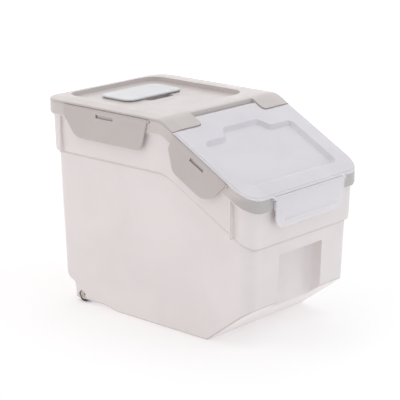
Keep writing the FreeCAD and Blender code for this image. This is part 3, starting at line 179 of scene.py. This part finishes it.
def mix_colour(tree, place, share, first, second, blend="MIX"):
    """Mixes two colours by a share."""
    made = tree.nodes.new("ShaderNodeMix")
    made.data_type = "RGBA"
    made.blend_type = blend
    made.location = (place[0] * 200, place[1] * 180)
    connect(tree, share, made.inputs[0])
    connect(tree, first, made.inputs[6])
    connect(tree, second, made.inputs[7])
    return made.outputs[2]


def remap(tree, place, value, low, high, new_low=0.0, new_high=1.0):
    """Stretches a range of values onto another, smoothly."""
    made = tree.nodes.new("ShaderNodeMapRange")
    made.interpolation_type = "SMOOTHSTEP"
    made.location = (place[0] * 200, place[1] * 180)
    for index, item in enumerate((value, low, high, new_low, new_high)):
        connect(tree, item, made.inputs[index])
    return made.outputs[0]


def new_group(name, inputs, outputs):
    """Empty node group with named inputs (name, kind, default) and outputs (name, kind)."""
    group = bpy.data.node_groups.new(name, "ShaderNodeTree")
    for title, kind, default in inputs:
        socket = group.interface.new_socket(title, in_out="INPUT", socket_type="NodeSocket" + kind)
        socket.default_value = default
    for title, kind in outputs:
        group.interface.new_socket(title, in_out="OUTPUT", socket_type="NodeSocket" + kind)
    start = group.nodes.new("NodeGroupInput")
    start.location = (-800, 0)
    end = group.nodes.new("NodeGroupOutput")
    end.location = (1000, 0)
    return group, start.outputs, end.inputs


def group_node(tree, name, place, **inputs):
    """Places a shared node group in a material."""
    made = node(tree, "ShaderNodeGroup", place)
    made.node_tree = bpy.data.node_groups[name]
    for title, value in inputs.items():
        connect(tree, value, made.inputs[title.replace("_", " ")])
    return made.outputs


# shared effects


def soft_edges_effect():
    """Normal rounded over every edge, and a mask of edges: how far that normal leans from the face's own."""
    group, given, out = new_group("soft edges", [("Radius", "Float", 0.0006)],
                                  [("Normal", "Vector"), ("Edge", "Float")])
    bevel = node(group, "ShaderNodeBevel", (-2, 0), Radius=given["Radius"])
    bevel.samples = 6
    face = node(group, "ShaderNodeNewGeometry", (-2, -1))
    lean = group.nodes.new("ShaderNodeVectorMath")
    lean.operation = "DOT_PRODUCT"
    connect(group, bevel.outputs["Normal"], lean.inputs[0])
    connect(group, face.outputs["Normal"], lean.inputs[1])
    edge = remap(group, (1, -1), lean.outputs["Value"], 1.0, 0.8)
    connect(group, bevel.outputs["Normal"], out["Normal"])
    connect(group, edge, out["Edge"])


def grain_effect():
    """Moulded grain: fine noise for the bump, and slow noise for the tone of the colour."""
    group, given, out = new_group("moulded grain", [("Size", "Float", 0.0007), ("Seed", "Float", 0.0)],
                                  [("Height", "Float"), ("Tone", "Float"), ("Flow", "Float")])
    place = node(group, "ShaderNodeTexCoord", (-4, 0)).outputs["Object"]
    scale = math_node(group, "DIVIDE", (-3, 1), 1.0, given["Size"])
    fine = node(group, "ShaderNodeTexNoise", (-2, 1), Vector=place, Scale=scale, Detail=3.0, Roughness=0.6)
    slow = node(group, "ShaderNodeTexNoise", (-2, 0), Vector=place, Scale=9.0, Detail=4.0, Roughness=0.55,
                Distortion=0.4)
    flow = node(group, "ShaderNodeTexNoise", (-2, -1), Vector=place, Scale=42.0, Detail=5.0, Roughness=0.5,
                Distortion=1.5)
    connect(group, fine.outputs[0], out["Height"])
    connect(group, slow.outputs[0], out["Tone"])
    connect(group, flow.outputs[0], out["Flow"])


def wear_and_highlight_effect():
    """Colour and roughness of moulded plastic: tone varies slowly; edges turn paler and shinier, partly from
    wearing and partly as a painted highlight where rounded edges catch the light.
    """
    group, given, out = new_group(
        "worn plastic",
        [("Colour", "Color", (0.8, 0.8, 0.8, 1.0)), ("Rubbed", "Color", (0.9, 0.9, 0.9, 1.0)),
         ("Edge", "Float", 0.0), ("Tone", "Float", 0.5), ("Flow", "Float", 0.5), ("Wear", "Float", 0.4),
         ("Roughness", "Float", 0.45)],
        [("Colour", "Color"), ("Roughness", "Float")])
    darker = mix_colour(group, (-2, 2), 1.0, given["Colour"], (0.955, 0.955, 0.955, 1.0), "MULTIPLY")
    tone = remap(group, (-2, 1), given["Tone"], 0.35, 0.65)
    toned = mix_colour(group, (-1, 2), tone, darker, given["Colour"])
    strength = remap(group, (-3, -1), given["Flow"], 0.3, 0.7, 0.6, 1.0)
    patchy = math_node(group, "MULTIPLY", (-2, -1), given["Edge"], strength)
    rubbed_highlight = math_node(group, "MULTIPLY", (-1, -1), patchy, given["Wear"], clamp=True)
    # edges mixed towards the paler colour: partly wearing, partly a painted highlight
    worn_and_highlit = mix_colour(group, (0, 1), rubbed_highlight, toned, given["Rubbed"])
    sheen = remap(group, (-1, -2), given["Flow"], 0.3, 0.7, -0.05, 0.05)
    rough = math_node(group, "ADD", (0, -2), given["Roughness"], sheen)
    smooth = math_node(group, "MULTIPLY", (0, -3), rubbed_highlight, 0.15)
    connect(group, worn_and_highlit, out["Colour"])
    connect(group, math_node(group, "SUBTRACT", (1, -2), rough, smooth, clamp=True), out["Roughness"])


def scuff_effect():
    """Hairline scuffs: noise stretched long in one direction, thresholded so that few lines stay."""
    group, given, out = new_group("scuffs", [("Amount", "Float", 0.3)], [("Mask", "Float")])
    place = node(group, "ShaderNodeTexCoord", (-5, 0)).outputs["Object"]
    stretched = node(group, "ShaderNodeMapping", (-4, 0), Vector=place, Rotation=(0.5, 0.3, 0.9),
                     Scale=(18.0, 900.0, 700.0))
    lines = node(group, "ShaderNodeTexNoise", (-3, 0), Vector=stretched.outputs[0], Scale=1.0, Detail=2.0)
    patches = node(group, "ShaderNodeTexNoise", (-3, -1), Vector=place, Scale=14.0, Detail=3.0)
    thin = remap(group, (-2, 0), lines.outputs[0], 0.66, 0.74)
    few = remap(group, (-2, -1), patches.outputs[0], 0.5, 0.7)
    both = math_node(group, "MULTIPLY", (-1, 0), thin, few)
    connect(group, math_node(group, "MULTIPLY", (0, 0), both, given["Amount"]), out["Mask"])


def turned_under_effect():
    """Mask of faces that turn under, where the tub gets painted shade: 1 on the rounded foot edges, and under
    the step above the foot.
    """
    group, given, out = new_group("turned under", [("Foot", "Float", 0.1)], [("Mask", "Float")])
    normal = node(group, "ShaderNodeNewGeometry", (-5, 0)).outputs["Normal"]
    lean = node(group, "ShaderNodeSeparateXYZ", (-4, 0), Vector=normal).outputs["Z"]
    place = node(group, "ShaderNodeTexCoord", (-5, 1)).outputs["Object"]
    height = node(group, "ShaderNodeSeparateXYZ", (-4, 1), Vector=place).outputs["Z"]
    under = remap(group, (-3, 0), lean, -0.05, -0.2)
    gentle = remap(group, (-3, -1), lean, -0.78, -0.68)
    above = math_node(group, "GREATER_THAN", (-3, 1), height, given["Foot"])
    allowed = math_node(group, "MAXIMUM", (-2, 0), gentle, above)
    connect(group, math_node(group, "MULTIPLY", (-1, 0), under, allowed), out["Mask"])


def make_effects():
    """Builds the shared node groups once."""
    turned_under_effect()
    soft_edges_effect()
    grain_effect()
    wear_and_highlight_effect()
    scuff_effect()


# materials


def new_material(name, roughness, ior=1.49):
    """Material with one Principled shader, its even values set on the shader itself."""
    material = bpy.data.materials.new(name)
    material.use_nodes = True
    tree = material.node_tree
    shader = tree.nodes["Principled BSDF"]
    shader.inputs["Roughness"].default_value = roughness
    shader.inputs["IOR"].default_value = ior
    return material, tree, shader


def moulded(name, colour, roughness=0.45, bump=0.00002, wear_highlight=0.8, softness=1.0, scuffs=0.06):
    """Moulded plastic: soft edges, grain, slow tone, edges paler from wearing and from a painted highlight, and
    hairline scuffs.
    """
    finish = bpy.context.scene.container_finish
    material, tree, shader = new_material(name, roughness)
    edges = group_node(tree, "soft edges", (-6, -3), Radius=finish.edge_softness * softness)
    grain = group_node(tree, "moulded grain", (-6, 0), Size=finish.grain_size)
    scuffed = group_node(tree, "scuffs", (-6, 2), Amount=scuffs)
    # edge colour halfway to white: partly wearing, partly a painted highlight
    rubbed_highlight = tuple(0.5 * c + 0.5 for c in colour[:3]) + (1.0,)
    worn_and_highlit = group_node(tree, "worn plastic", (-4, 1), Colour=colour, Rubbed=rubbed_highlight, Edge=edges["Edge"],
                      Tone=grain["Tone"], Flow=grain["Flow"], Wear=wear_highlight, Roughness=roughness)
    height = math_node(tree, "SUBTRACT", (-4, -2), grain["Height"], scuffed["Mask"])
    relief = node(tree, "ShaderNodeBump", (-2, -2), Height=height, Normal=edges["Normal"], Strength=1.0,
                  Distance=bump)
    connect(tree, worn_and_highlit["Colour"], shader.inputs["Base Color"])
    connect(tree, worn_and_highlit["Roughness"], shader.inputs["Roughness"])
    connect(tree, relief.outputs["Normal"], shader.inputs["Normal"])
    return material, tree, shader, worn_and_highlit


def paint(material, *names):
    """Gives CAD nodes a material."""
    for name in names:
        slots = NODES[name].data.materials
        slots.clear()
        slots.append(material)


def tub_plastic():
    """Milky moulded body, with painted shade on the faces that turn under."""
    colour = linear(bpy.context.scene.container_finish.tub)
    material, tree, shader, worn_and_highlit = moulded("milky tub plastic", colour, roughness=0.5)
    under = group_node(tree, "turned under", (-4, 3))
    # painted shade: faces that turn under, at the foot and the step, darkened to about three quarters
    shaded = mix_colour(tree, (-3, 3), 1.0, worn_and_highlit["Colour"], (0.78, 0.77, 0.76, 1.0), "MULTIPLY")
    under_shaded = mix_colour(tree, (-2, 3), under["Mask"], worn_and_highlit["Colour"], shaded)
    connect(tree, under_shaded, shader.inputs["Base Color"])
    return material


def lid_plastic():
    """Warm taupe lid, with painted shade turning the rail round its low front grey under the cover's overhang.
    """
    finish = bpy.context.scene.container_finish
    material, tree, shader, worn_and_highlit = moulded("taupe lid plastic", linear(finish.lid), roughness=0.34,
                                           bump=0.00001)
    place = node(tree, "ShaderNodeTexCoord", (-6, 4)).outputs["Object"]
    parts = node(tree, "ShaderNodeSeparateXYZ", (-5, 4), Vector=place)
    # painted shade: the rail's low front goes grey under the cover's overhang
    front = remap(tree, (-4, 4), parts.outputs["Y"], -0.12, -0.185)
    low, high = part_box("lid")
    below = remap(tree, (-4, 3), parts.outputs["Z"], low.z + 0.026, low.z + 0.0155)
    rail_shade_mask = math_node(tree, "MULTIPLY", (-3, 4), front, below)
    rail_shaded = mix_colour(tree, (-2, 4), rail_shade_mask, worn_and_highlit["Colour"], linear(finish.front_rail_shade))
    connect(tree, rail_shaded, shader.inputs["Base Color"])
    return material


def latch_plastic():
    """Darker taupe side latches."""
    material, tree, shader, worn_and_highlit = moulded("taupe latch plastic",
                                           linear(bpy.context.scene.container_finish.latch), roughness=0.38)
    return material


def cap_plastic():
    """Cool white cap."""
    material, tree, shader, worn_and_highlit = moulded("white cap plastic",
                                           linear(bpy.context.scene.container_finish.cap), roughness=0.5,
                                           bump=0.0, wear_highlight=0.0, softness=0.2, scuffs=0.0)
    return material


def box_plastic():
    """White box that holds the desiccant."""
    material, tree, shader, worn_and_highlit = moulded("white box plastic",
                                           linear(bpy.context.scene.container_finish.box), roughness=0.5)
    return material


def hub_plastic():
    """Cream wheel hubs."""
    material, tree, shader, worn_and_highlit = moulded("cream hub plastic",
                                           linear(bpy.context.scene.container_finish.hub), softness=0.5)
    return material


def clear_plastic():
    """Frosted see-through plastic of the scoop cover and the front latch, with a painted highlight and a painted
    glow along its edges.
    """
    finish = bpy.context.scene.container_finish
    material, tree, shader = new_material("frosted clear plastic", 0.22, ior=1.49)
    shader.inputs["Transmission Weight"].default_value = 0.24
    edges = group_node(tree, "soft edges", (-6, -3), Radius=finish.edge_softness)
    grain = group_node(tree, "moulded grain", (-6, 0), Size=finish.grain_size)
    scuffed = group_node(tree, "scuffs", (-6, 2), Amount=0.1)
    colour = linear(finish.clear)
    # edges mixed to full white: painted highlight along the rims
    worn_and_highlit = group_node(tree, "worn plastic", (-4, 1), Colour=colour, Rubbed=(1.0, 1.0, 1.0, 1.0),
                      Edge=edges["Edge"], Tone=grain["Tone"], Flow=grain["Flow"], Wear=1.0, Roughness=0.2)
    # painted glow: the edges emit a faint white light of their own
    lit = mix_colour(tree, (-4, 4), edges["Edge"], (0.0, 0.0, 0.0, 1.0), (0.2, 0.2, 0.2, 1.0))
    connect(tree, lit, shader.inputs["Emission Color"])
    shader.inputs["Emission Strength"].default_value = 1.0
    height = math_node(tree, "SUBTRACT", (-4, -2), grain["Tone"], scuffed["Mask"])
    relief = node(tree, "ShaderNodeBump", (-2, -2), Height=height, Normal=edges["Normal"], Strength=1.0,
                  Distance=0.00005)
    connect(tree, worn_and_highlit["Colour"], shader.inputs["Base Color"])
    connect(tree, worn_and_highlit["Roughness"], shader.inputs["Roughness"])
    connect(tree, relief.outputs["Normal"], shader.inputs["Normal"])
    return material


def seal_rubber():
    """Pale silicone of the seals."""
    material, tree, shader, worn_and_highlit = moulded("pale silicone", linear(bpy.context.scene.container_finish.seal),
                                           roughness=0.6, wear_highlight=0.1, scuffs=0.0)
    return material


def tyre_rubber():
    """Dark tyre rubber."""
    colour = linear(bpy.context.scene.container_finish.tyre)
    material, tree, shader, worn_and_highlit = moulded("dark tyre rubber", colour, roughness=0.7, wear_highlight=0.15, softness=0.3)
    return material


def pin_steel():
    """Drawn steel of the pins and axles, with fine lines along them."""
    finish = bpy.context.scene.container_finish
    material, tree, shader = new_material("drawn steel", 0.3)
    shader.inputs["Metallic"].default_value = 1.0
    place = node(tree, "ShaderNodeTexCoord", (-6, 0)).outputs["Object"]
    drawn = node(tree, "ShaderNodeMapping", (-5, 0), Vector=place, Scale=(30.0, 2500.0, 2500.0))
    lines = node(tree, "ShaderNodeTexNoise", (-4, 0), Vector=drawn.outputs[0], Scale=1.0, Detail=3.0)
    dull = mix_colour(tree, (-2, 1), lines.outputs[0], linear(finish.steel), (0.55, 0.54, 0.52, 1.0))
    rough = remap(tree, (-2, 0), lines.outputs[0], 0.3, 0.7, 0.22, 0.42)
    connect(tree, dull, shader.inputs["Base Color"])
    connect(tree, rough, shader.inputs["Roughness"])
    return material


# surfaces


def surface(name, points, material, close_rows=True, close_columns=True):
    """Mesh of a grid of points: neighbours share faces, and closed directions join up."""
    rows, columns = points.shape[:2]
    index = np.arange(rows * columns).reshape(rows, columns)
    below = np.roll(index, -1, axis=0)
    quads = np.stack((index, np.roll(index, -1, axis=1), np.roll(below, -1, axis=1), below), axis=-1)
    quads = quads[:rows if close_rows else rows - 1, :columns if close_columns else columns - 1]
    mesh = bpy.data.meshes.new(name)
    mesh.from_pydata(points.reshape(-1, 3), [], quads.reshape(-1, 4).tolist())
    mesh.materials.append(material)
    mesh.shade_smooth()
    piece = bpy.data.objects.new(name, mesh)
    bpy.context.scene.collection.objects.link(piece)
    return piece


def tyre_surface(name, node_name, material):
    """Tyre as a ring: a half-section of rounded shoulders carried round the axle, its tread cut by grooves.

    The radius over the tread is the tyre's own less the groove depth times a steep wave of the angle.
    """
    sizes = bpy.context.scene.container_sizes
    low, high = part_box(node_name)
    centre = (low + high) / 2
    outer = (high.z - low.z) / 2
    inner = sizes.tyre_bore
    half = (high.x - low.x) / 2
    round_off = 0.0011
    turn = np.linspace(0, math.pi / 2, 6)
    right_x = half - round_off + round_off * np.cos(turn)
    right_r = outer - round_off + round_off * np.sin(turn)
    tread_x = np.linspace(half - round_off, round_off - half, 12)[1:-1]
    tread_r = np.full(10, outer)
    across = np.concatenate(([half], right_x, tread_x, -right_x[::-1], [-half]))
    radius = np.concatenate(([inner], right_r, tread_r, right_r[::-1], [inner]))
    angle = np.linspace(0, 2 * math.pi, sizes.tread_grooves * 12, endpoint=False)
    wave = np.clip(np.cos(angle * sizes.tread_grooves) * 4 - 2.4, 0, 1)
    middle = np.clip((outer * 1.001 - radius) / -round_off + 1, 0, 1) * (radius > outer * 0.97)
    depth = sizes.tread_depth * wave[:, None] * middle[None, :]
    reach = radius[None, :] - depth
    points = np.empty(reach.shape + (3,))
    points[..., 0] = centre.x + across[None, :]
    points[..., 1] = centre.y + reach * np.cos(angle)[:, None]
    points[..., 2] = centre.z + reach * np.sin(angle)[:, None]
    return surface(name, points, material)


def rounded_path(half_across, half_along, corner, corner_steps=14, side_steps=40):
    """Rounded rectangle round the origin as points and outward directions: straights and quarter circles."""
    turn = np.linspace(0, math.pi / 2, corner_steps)
    run_x = half_across - corner
    run_y = half_along - corner
    points = []
    ways = []
    for quarter, (sign_x, sign_y) in enumerate(((1, 1), (-1, 1), (-1, -1), (1, -1))):
        angle = turn + quarter * math.pi / 2
        way = np.stack((np.cos(angle), np.sin(angle)), axis=1)
        centre = np.array((sign_x * run_x, sign_y * run_y))
        points.append(centre + corner * way)
        ways.append(way)
        straight = run_x * 2 if quarter % 2 == 0 else run_y * 2
        along = np.array((-way[-1][1], way[-1][0]))
        steps = np.linspace(0, straight, side_steps)[1:-1, None]
        points.append(points[-1][-1] + along * steps)
        ways.append(np.repeat(way[-1:], side_steps - 2, axis=0))
    return np.concatenate(points), np.concatenate(ways)


def seal_profile(width, height, steps=24):
    """Section of a seal: flat where it is held, two soft lips where it closes.

    Over the width the lips hang by the height times seven tenths plus three tenths of a sine's size,
    and fall to nothing at the sides by the root of one less the sixth power.
    """
    share = np.sin(np.linspace(-math.pi / 2, math.pi / 2, steps))
    lips = 0.7 + 0.3 * np.abs(np.sin(share * math.pi))
    hang = height * (0.25 + (lips - 0.25) * np.sqrt(np.clip(1 - share ** 6, 0, 1)))
    across = np.concatenate((share * width / 2, share[::-1] * width / 2))[::-1]
    down = np.concatenate((hang, np.zeros(steps)))[::-1]
    return across, down


def bent_height(along, kink, radius, slope):
    """Drop of a line that runs level, turns through an arc and then falls at a slope, by its place along."""
    reach = radius * math.tan(slope / 2)
    into = np.clip(kink + reach - along, 0, None)
    arc_end = radius * math.sin(slope)
    arc = radius - np.sqrt(np.clip(radius ** 2 - np.minimum(into, arc_end) ** 2, 0, None))
    return arc + np.clip(into - arc_end, 0, None) * math.tan(slope)


def lid_seal_surface(material):
    """Seal under the lid's rim: its section carried round the outline and down the side view's bend."""
    sizes = bpy.context.scene.container_sizes
    low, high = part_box("lid_seal")
    half_across = (high.x - low.x) / 2
    half_along = (high.y - low.y) / 2
    path, ways = rounded_path(half_across - sizes.lid_seal_width / 2, half_along - sizes.lid_seal_width / 2,
                              sizes.lid_seal_corner - sizes.lid_seal_width / 2, side_steps=90)
    path[:, 1] += (high.y + low.y) / 2
    across, down = seal_profile(sizes.lid_seal_width, sizes.lid_seal_height)
    points = np.empty((len(path), len(across), 3))
    points[..., :2] = path[:, None] + ways[:, None] * across[None, :, None]
    drop = bent_height(points[..., 1], -sizes.kink_forward, sizes.kink_radius, sizes.slope)
    points[..., 2] = high.z - drop - down
    return surface("lid_gasket", points, material)


def cover_seal_surface(material):
    """Seal under the scoop cover: its section carried round the mouth's outline in the slope's plane."""
    sizes = bpy.context.scene.container_sizes
    low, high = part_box("cover_seal")
    lean = np.array(((math.cos(sizes.slope), -math.sin(sizes.slope)),
                     (math.sin(sizes.slope), math.cos(sizes.slope))))
    spread = np.array(((math.cos(sizes.slope), math.sin(sizes.slope)),
                       (math.sin(sizes.slope), math.cos(sizes.slope))))
    length, height = np.linalg.solve(spread, (high.y - low.y, high.z - low.z))
    path, ways = rounded_path((high.x - low.x - sizes.cover_seal_width) / 2,
                              (length - sizes.cover_seal_width) / 2,
                              sizes.cover_seal_corner - sizes.cover_seal_width / 2)
    across, down = seal_profile(sizes.cover_seal_width, height)
    flat = path[:, None] + ways[:, None] * across[None, :, None]
    sunk = np.broadcast_to(height / 2 - down, flat.shape[:2])
    points = np.empty(flat.shape[:2] + (3,))
    points[..., 0] = flat[..., 0] + (high.x + low.x) / 2
    points[..., 1] = lean[0, 0] * flat[..., 1] + lean[0, 1] * sunk + (high.y + low.y) / 2
    points[..., 2] = lean[1, 0] * flat[..., 1] + lean[1, 1] * sunk + (high.z + low.z) / 2
    return surface("cover_gasket", points, material)


# pieces, one operator each


class ContainerOperator:
    """What the container's operators share."""

    bl_options = {"REGISTER", "UNDO"}


class CONTAINER_OT_tub(ContainerOperator, bpy.types.Operator):
    """Gives the tub its milky plastic"""

    bl_idname = "container.tub"
    bl_label = "Tub"

    def execute(self, context):
        paint(tub_plastic(), "tub")
        return {"FINISHED"}


class CONTAINER_OT_lid(ContainerOperator, bpy.types.Operator):
    """Gives the lid its taupe plastic"""

    bl_idname = "container.lid"
    bl_label = "Lid"

    def execute(self, context):
        paint(lid_plastic(), "lid")
        return {"FINISHED"}


class CONTAINER_OT_cover(ContainerOperator, bpy.types.Operator):
    """Gives the scoop cover and the front latch their frosted plastic"""

    bl_idname = "container.cover"
    bl_label = "Scoop cover and front latch"

    def execute(self, context):
        paint(clear_plastic(), "front_cover", "front_latch")
        return {"FINISHED"}


class CONTAINER_OT_latches(ContainerOperator, bpy.types.Operator):
    """Gives the four side latches their plastic"""

    bl_idname = "container.latches"
    bl_label = "Side latches"

    def execute(self, context):
        names = ["side_latch_%s_%s" % (side, end) for side, sign in SIDES for end in ("rear", "front")]
        paint(latch_plastic(), *names)
        return {"FINISHED"}


class CONTAINER_OT_desiccant(ContainerOperator, bpy.types.Operator):
    """Gives the desiccant box and its cap their plastics"""

    bl_idname = "container.desiccant"
    bl_label = "Desiccant box and cap"

    def execute(self, context):
        paint(box_plastic(), "desiccant_box")
        paint(cap_plastic(), "desiccant_cap")
        return {"FINISHED"}


class CONTAINER_OT_seals(ContainerOperator, bpy.types.Operator):
    """Makes the two lipped seals of silicone"""

    bl_idname = "container.seals"
    bl_label = "Seals"

    def execute(self, context):
        rubber = seal_rubber()
        lid_seal = lid_seal_surface(rubber)
        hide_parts("lid_seal")
        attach(lid_seal, "lid")
        cover_seal = cover_seal_surface(rubber)
        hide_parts("cover_seal")
        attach(cover_seal, "front_cover")
        return {"FINISHED"}


class CONTAINER_OT_pins(ContainerOperator, bpy.types.Operator):
    """Gives the hinge pins and axles their steel"""

    bl_idname = "container.pins"
    bl_label = "Pins and axles"

    def execute(self, context):
        ends = [name for name in NODES if "pin" in name or name.startswith("axle")]
        paint(pin_steel(), *ends)
        return {"FINISHED"}


class CONTAINER_OT_wheels(ContainerOperator, bpy.types.Operator):
    """Gives the wheels their hubs' plastic and grooved tyres"""

    bl_idname = "container.wheels"
    bl_label = "Wheels"

    def execute(self, context):
        paint(hub_plastic(), "wheel_left", "wheel_right")
        rubber = tyre_rubber()
        for side, sign in SIDES:
            tyre = tyre_surface("grooved_tyre_" + side, "tyre_" + side, rubber)
            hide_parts("tyre_" + side)
            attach(tyre, "wheel_" + side)
        return {"FINISHED"}


# stage


def make_floor(stage):
    """Wide floor that curves up far behind the container: level, then a quarter circle, then upright."""
    half = stage.floor_size / 2
    bend = half * 0.4
    turn = np.linspace(0, math.pi / 2, 24)
    along = np.concatenate(([-half], half - bend + bend * np.sin(turn), [half]))
    height = np.concatenate(([0.0], bend - bend * np.cos(turn), [half * 1.2]))
    points = np.empty((2, len(along), 3))
    points[..., 0] = np.array([-half, half])[:, None]
    points[..., 1] = along
    points[..., 2] = height
    turned = Matrix.Rotation(stage.camera_turn, 4, "Z")
    floor = surface("floor", points, floor_material(stage), close_rows=False, close_columns=False)
    floor.data.transform(turned)


def floor_material(stage):
    """White floor that the camera sees a little brighter, so that only the shadow shows on it."""
    material, tree, shader = new_material("white floor", 0.9)
    colour = linear(stage.floor)
    shader.inputs["Base Color"].default_value = tuple(stage.floor_bounce * c for c in colour[:3]) + (1.0,)
    shader.inputs["Specular IOR Level"].default_value = 0.0
    seen = node(tree, "ShaderNodeLightPath", (-4, 0))
    camera, glossy, through = [seen.outputs["Is %s Ray" % kind] for kind in ("Camera", "Glossy", "Transmission")]
    eye = math_node(tree, "MAXIMUM", (-2, 0), math_node(tree, "MAXIMUM", (-3, 0), camera, glossy), through)
    place = node(tree, "ShaderNodeTexCoord", (-6, 2)).outputs["Object"]
    away = tree.nodes.new("ShaderNodeVectorMath")
    away.operation = "LENGTH"
    connect(tree, place, away.inputs[0])
    bright = remap(tree, (-3, 2), away.outputs["Value"], 0.5, 2.5, stage.floor_lift, 1.0)
    dim = remap(tree, (-2, 1), eye, 0.0, 1.0, stage.floor_glow, bright)
    glow = node(tree, "ShaderNodeEmission", (-1, 1), Color=colour, Strength=dim)
    both = node(tree, "ShaderNodeAddShader", (2, 0))
    connect(tree, shader.outputs[0], both.inputs[0])
    connect(tree, glow.outputs[0], both.inputs[1])
    connect(tree, both.outputs[0], tree.nodes["Material Output"].inputs["Surface"])
    return material


def make_sky(stage):
    """Even light from all round, weaker from the open side, and white where the camera sees it."""
    world = bpy.data.worlds.new("studio")
    world.use_nodes = True
    tree = world.node_tree
    back = tree.nodes["Background"]
    seen = node(tree, "ShaderNodeLightPath", (-5, 0))
    camera, through = [seen.outputs["Is %s Ray" % kind] for kind in ("Camera", "Transmission")]
    eye = math_node(tree, "MAXIMUM", (-3, 0), camera, through)
    towards = node(tree, "ShaderNodeTexCoord", (-6, 2)).outputs["Generated"]
    facing = tree.nodes.new("ShaderNodeVectorMath")
    facing.operation = "DOT_PRODUCT"
    connect(tree, towards, facing.inputs[0])
    facing.inputs[1].default_value = (math.sin(stage.camera_turn), -math.cos(stage.camera_turn), 0.0)
    open_side = remap(tree, (-4, 2), facing.outputs["Value"], 0.55, 0.97, 1.0, stage.camera_side)
    even = remap(tree, (-4, 1), seen.outputs["Is Glossy Ray"], 0.0, 1.0, stage.sky_level, 1.0)
    level = math_node(tree, "MULTIPLY", (-3, 1), open_side, even)
    strength = remap(tree, (-2, 0), eye, 0.0, 1.0, level, 1.0)
    back.inputs["Color"].default_value = WHITE + (1.0,)
    connect(tree, strength, back.inputs["Strength"])
    bpy.context.scene.world = world


def direction(turn, rise):
    """Direction at an angle round the container and an angle above the floor."""
    return Vector((math.sin(turn) * math.cos(rise), -math.cos(turn) * math.cos(rise), math.sin(rise)))


def make_lamp(name, power, turn, rise, distance, size, colour):
    """Square lamp on a sphere round the container, facing its middle."""
    data = bpy.data.lights.new(name, "AREA")
    data.energy = power
    data.size = size
    data.color = colour
    lamp = bpy.data.objects.new(name, data)
    aim = Vector((0, 0, 0.15))
    lamp.location = aim + distance * direction(math.radians(turn), math.radians(rise))
    lamp.rotation_euler = (aim - lamp.location).to_track_quat("-Z", "Y").to_euler()
    bpy.context.scene.collection.objects.link(lamp)


def make_camera(stage):
    """Camera on a sphere round its target, level with the horizon."""
    data = bpy.data.cameras.new("camera")
    data.lens = stage.lens
    data.clip_end = 60.0
    camera = bpy.data.objects.new("camera", data)
    target = Vector(stage.camera_target)
    away = direction(stage.camera_turn, stage.camera_rise)
    camera.location = target + away * stage.camera_distance
    camera.rotation_euler = (-away).to_track_quat("-Z", "Y").to_euler()
    bpy.context.scene.collection.objects.link(camera)
    bpy.context.scene.camera = camera


class CONTAINER_OT_stage(ContainerOperator, bpy.types.Operator):
    """Makes the floor, the even light, the lamps and the camera"""

    bl_idname = "container.stage"
    bl_label = "Stage"

    def execute(self, context):
        stage = context.scene.container_stage
        context.scene.view_settings.view_transform = "Standard"
        make_floor(stage)
        make_sky(stage)
        make_lamp("key", stage.key_power, -112, 35, 2.6, 3.2, (1.0, 0.86, 0.84))
        make_lamp("fill", stage.fill_power, 24, 35, 2.6, 3.2, (0.80, 0.87, 1.0))
        make_lamp("top", stage.top_power, 0, 89, 2.8, 3.2, WHITE)
        make_camera(stage)
        return {"FINISHED"}


class CONTAINER_PT_panel(bpy.types.Panel):
    """Lists the container's pieces and their sizes and colours"""

    bl_label = "Pet food container"
    bl_idname = "CONTAINER_PT_panel"
    bl_space_type = "VIEW_3D"
    bl_region_type = "UI"
    bl_category = "Container"

    def draw(self, context):
        for operator in OPERATORS:
            self.layout.operator(operator.bl_idname)
        scene = context.scene
        for group in (scene.container_finish, scene.container_sizes, scene.container_stage):
            box = self.layout.box()
            for name in group.__annotations__:
                box.prop(group, name)


OPERATORS = (CONTAINER_OT_tub, CONTAINER_OT_lid, CONTAINER_OT_cover, CONTAINER_OT_latches,
             CONTAINER_OT_desiccant, CONTAINER_OT_seals, CONTAINER_OT_pins, CONTAINER_OT_wheels,
             CONTAINER_OT_stage)
GROUPS = {"container_finish": ContainerFinish, "container_sizes": ContainerSizes,
          "container_stage": ContainerStage}


def register():
    """Registers the property groups, operators and panel."""
    for name, group in GROUPS.items():
        bpy.utils.register_class(group)
        setattr(bpy.types.Scene, name, PointerProperty(type=group))
    for item in OPERATORS + (CONTAINER_PT_panel,):
        bpy.utils.register_class(item)


def unregister():
    """Takes away what register added."""
    for item in (CONTAINER_PT_panel,) + OPERATORS[::-1]:
        bpy.utils.unregister_class(item)
    for name, group in GROUPS.items():
        delattr(bpy.types.Scene, name)
        bpy.utils.unregister_class(group)


def main():
    """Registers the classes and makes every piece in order."""
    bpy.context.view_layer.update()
    register()
    make_effects()
    for operator in OPERATORS:
        kind, name = operator.bl_idname.split(".")
        getattr(getattr(bpy.ops, kind), name)()


if __name__ == "__main__":
    main()
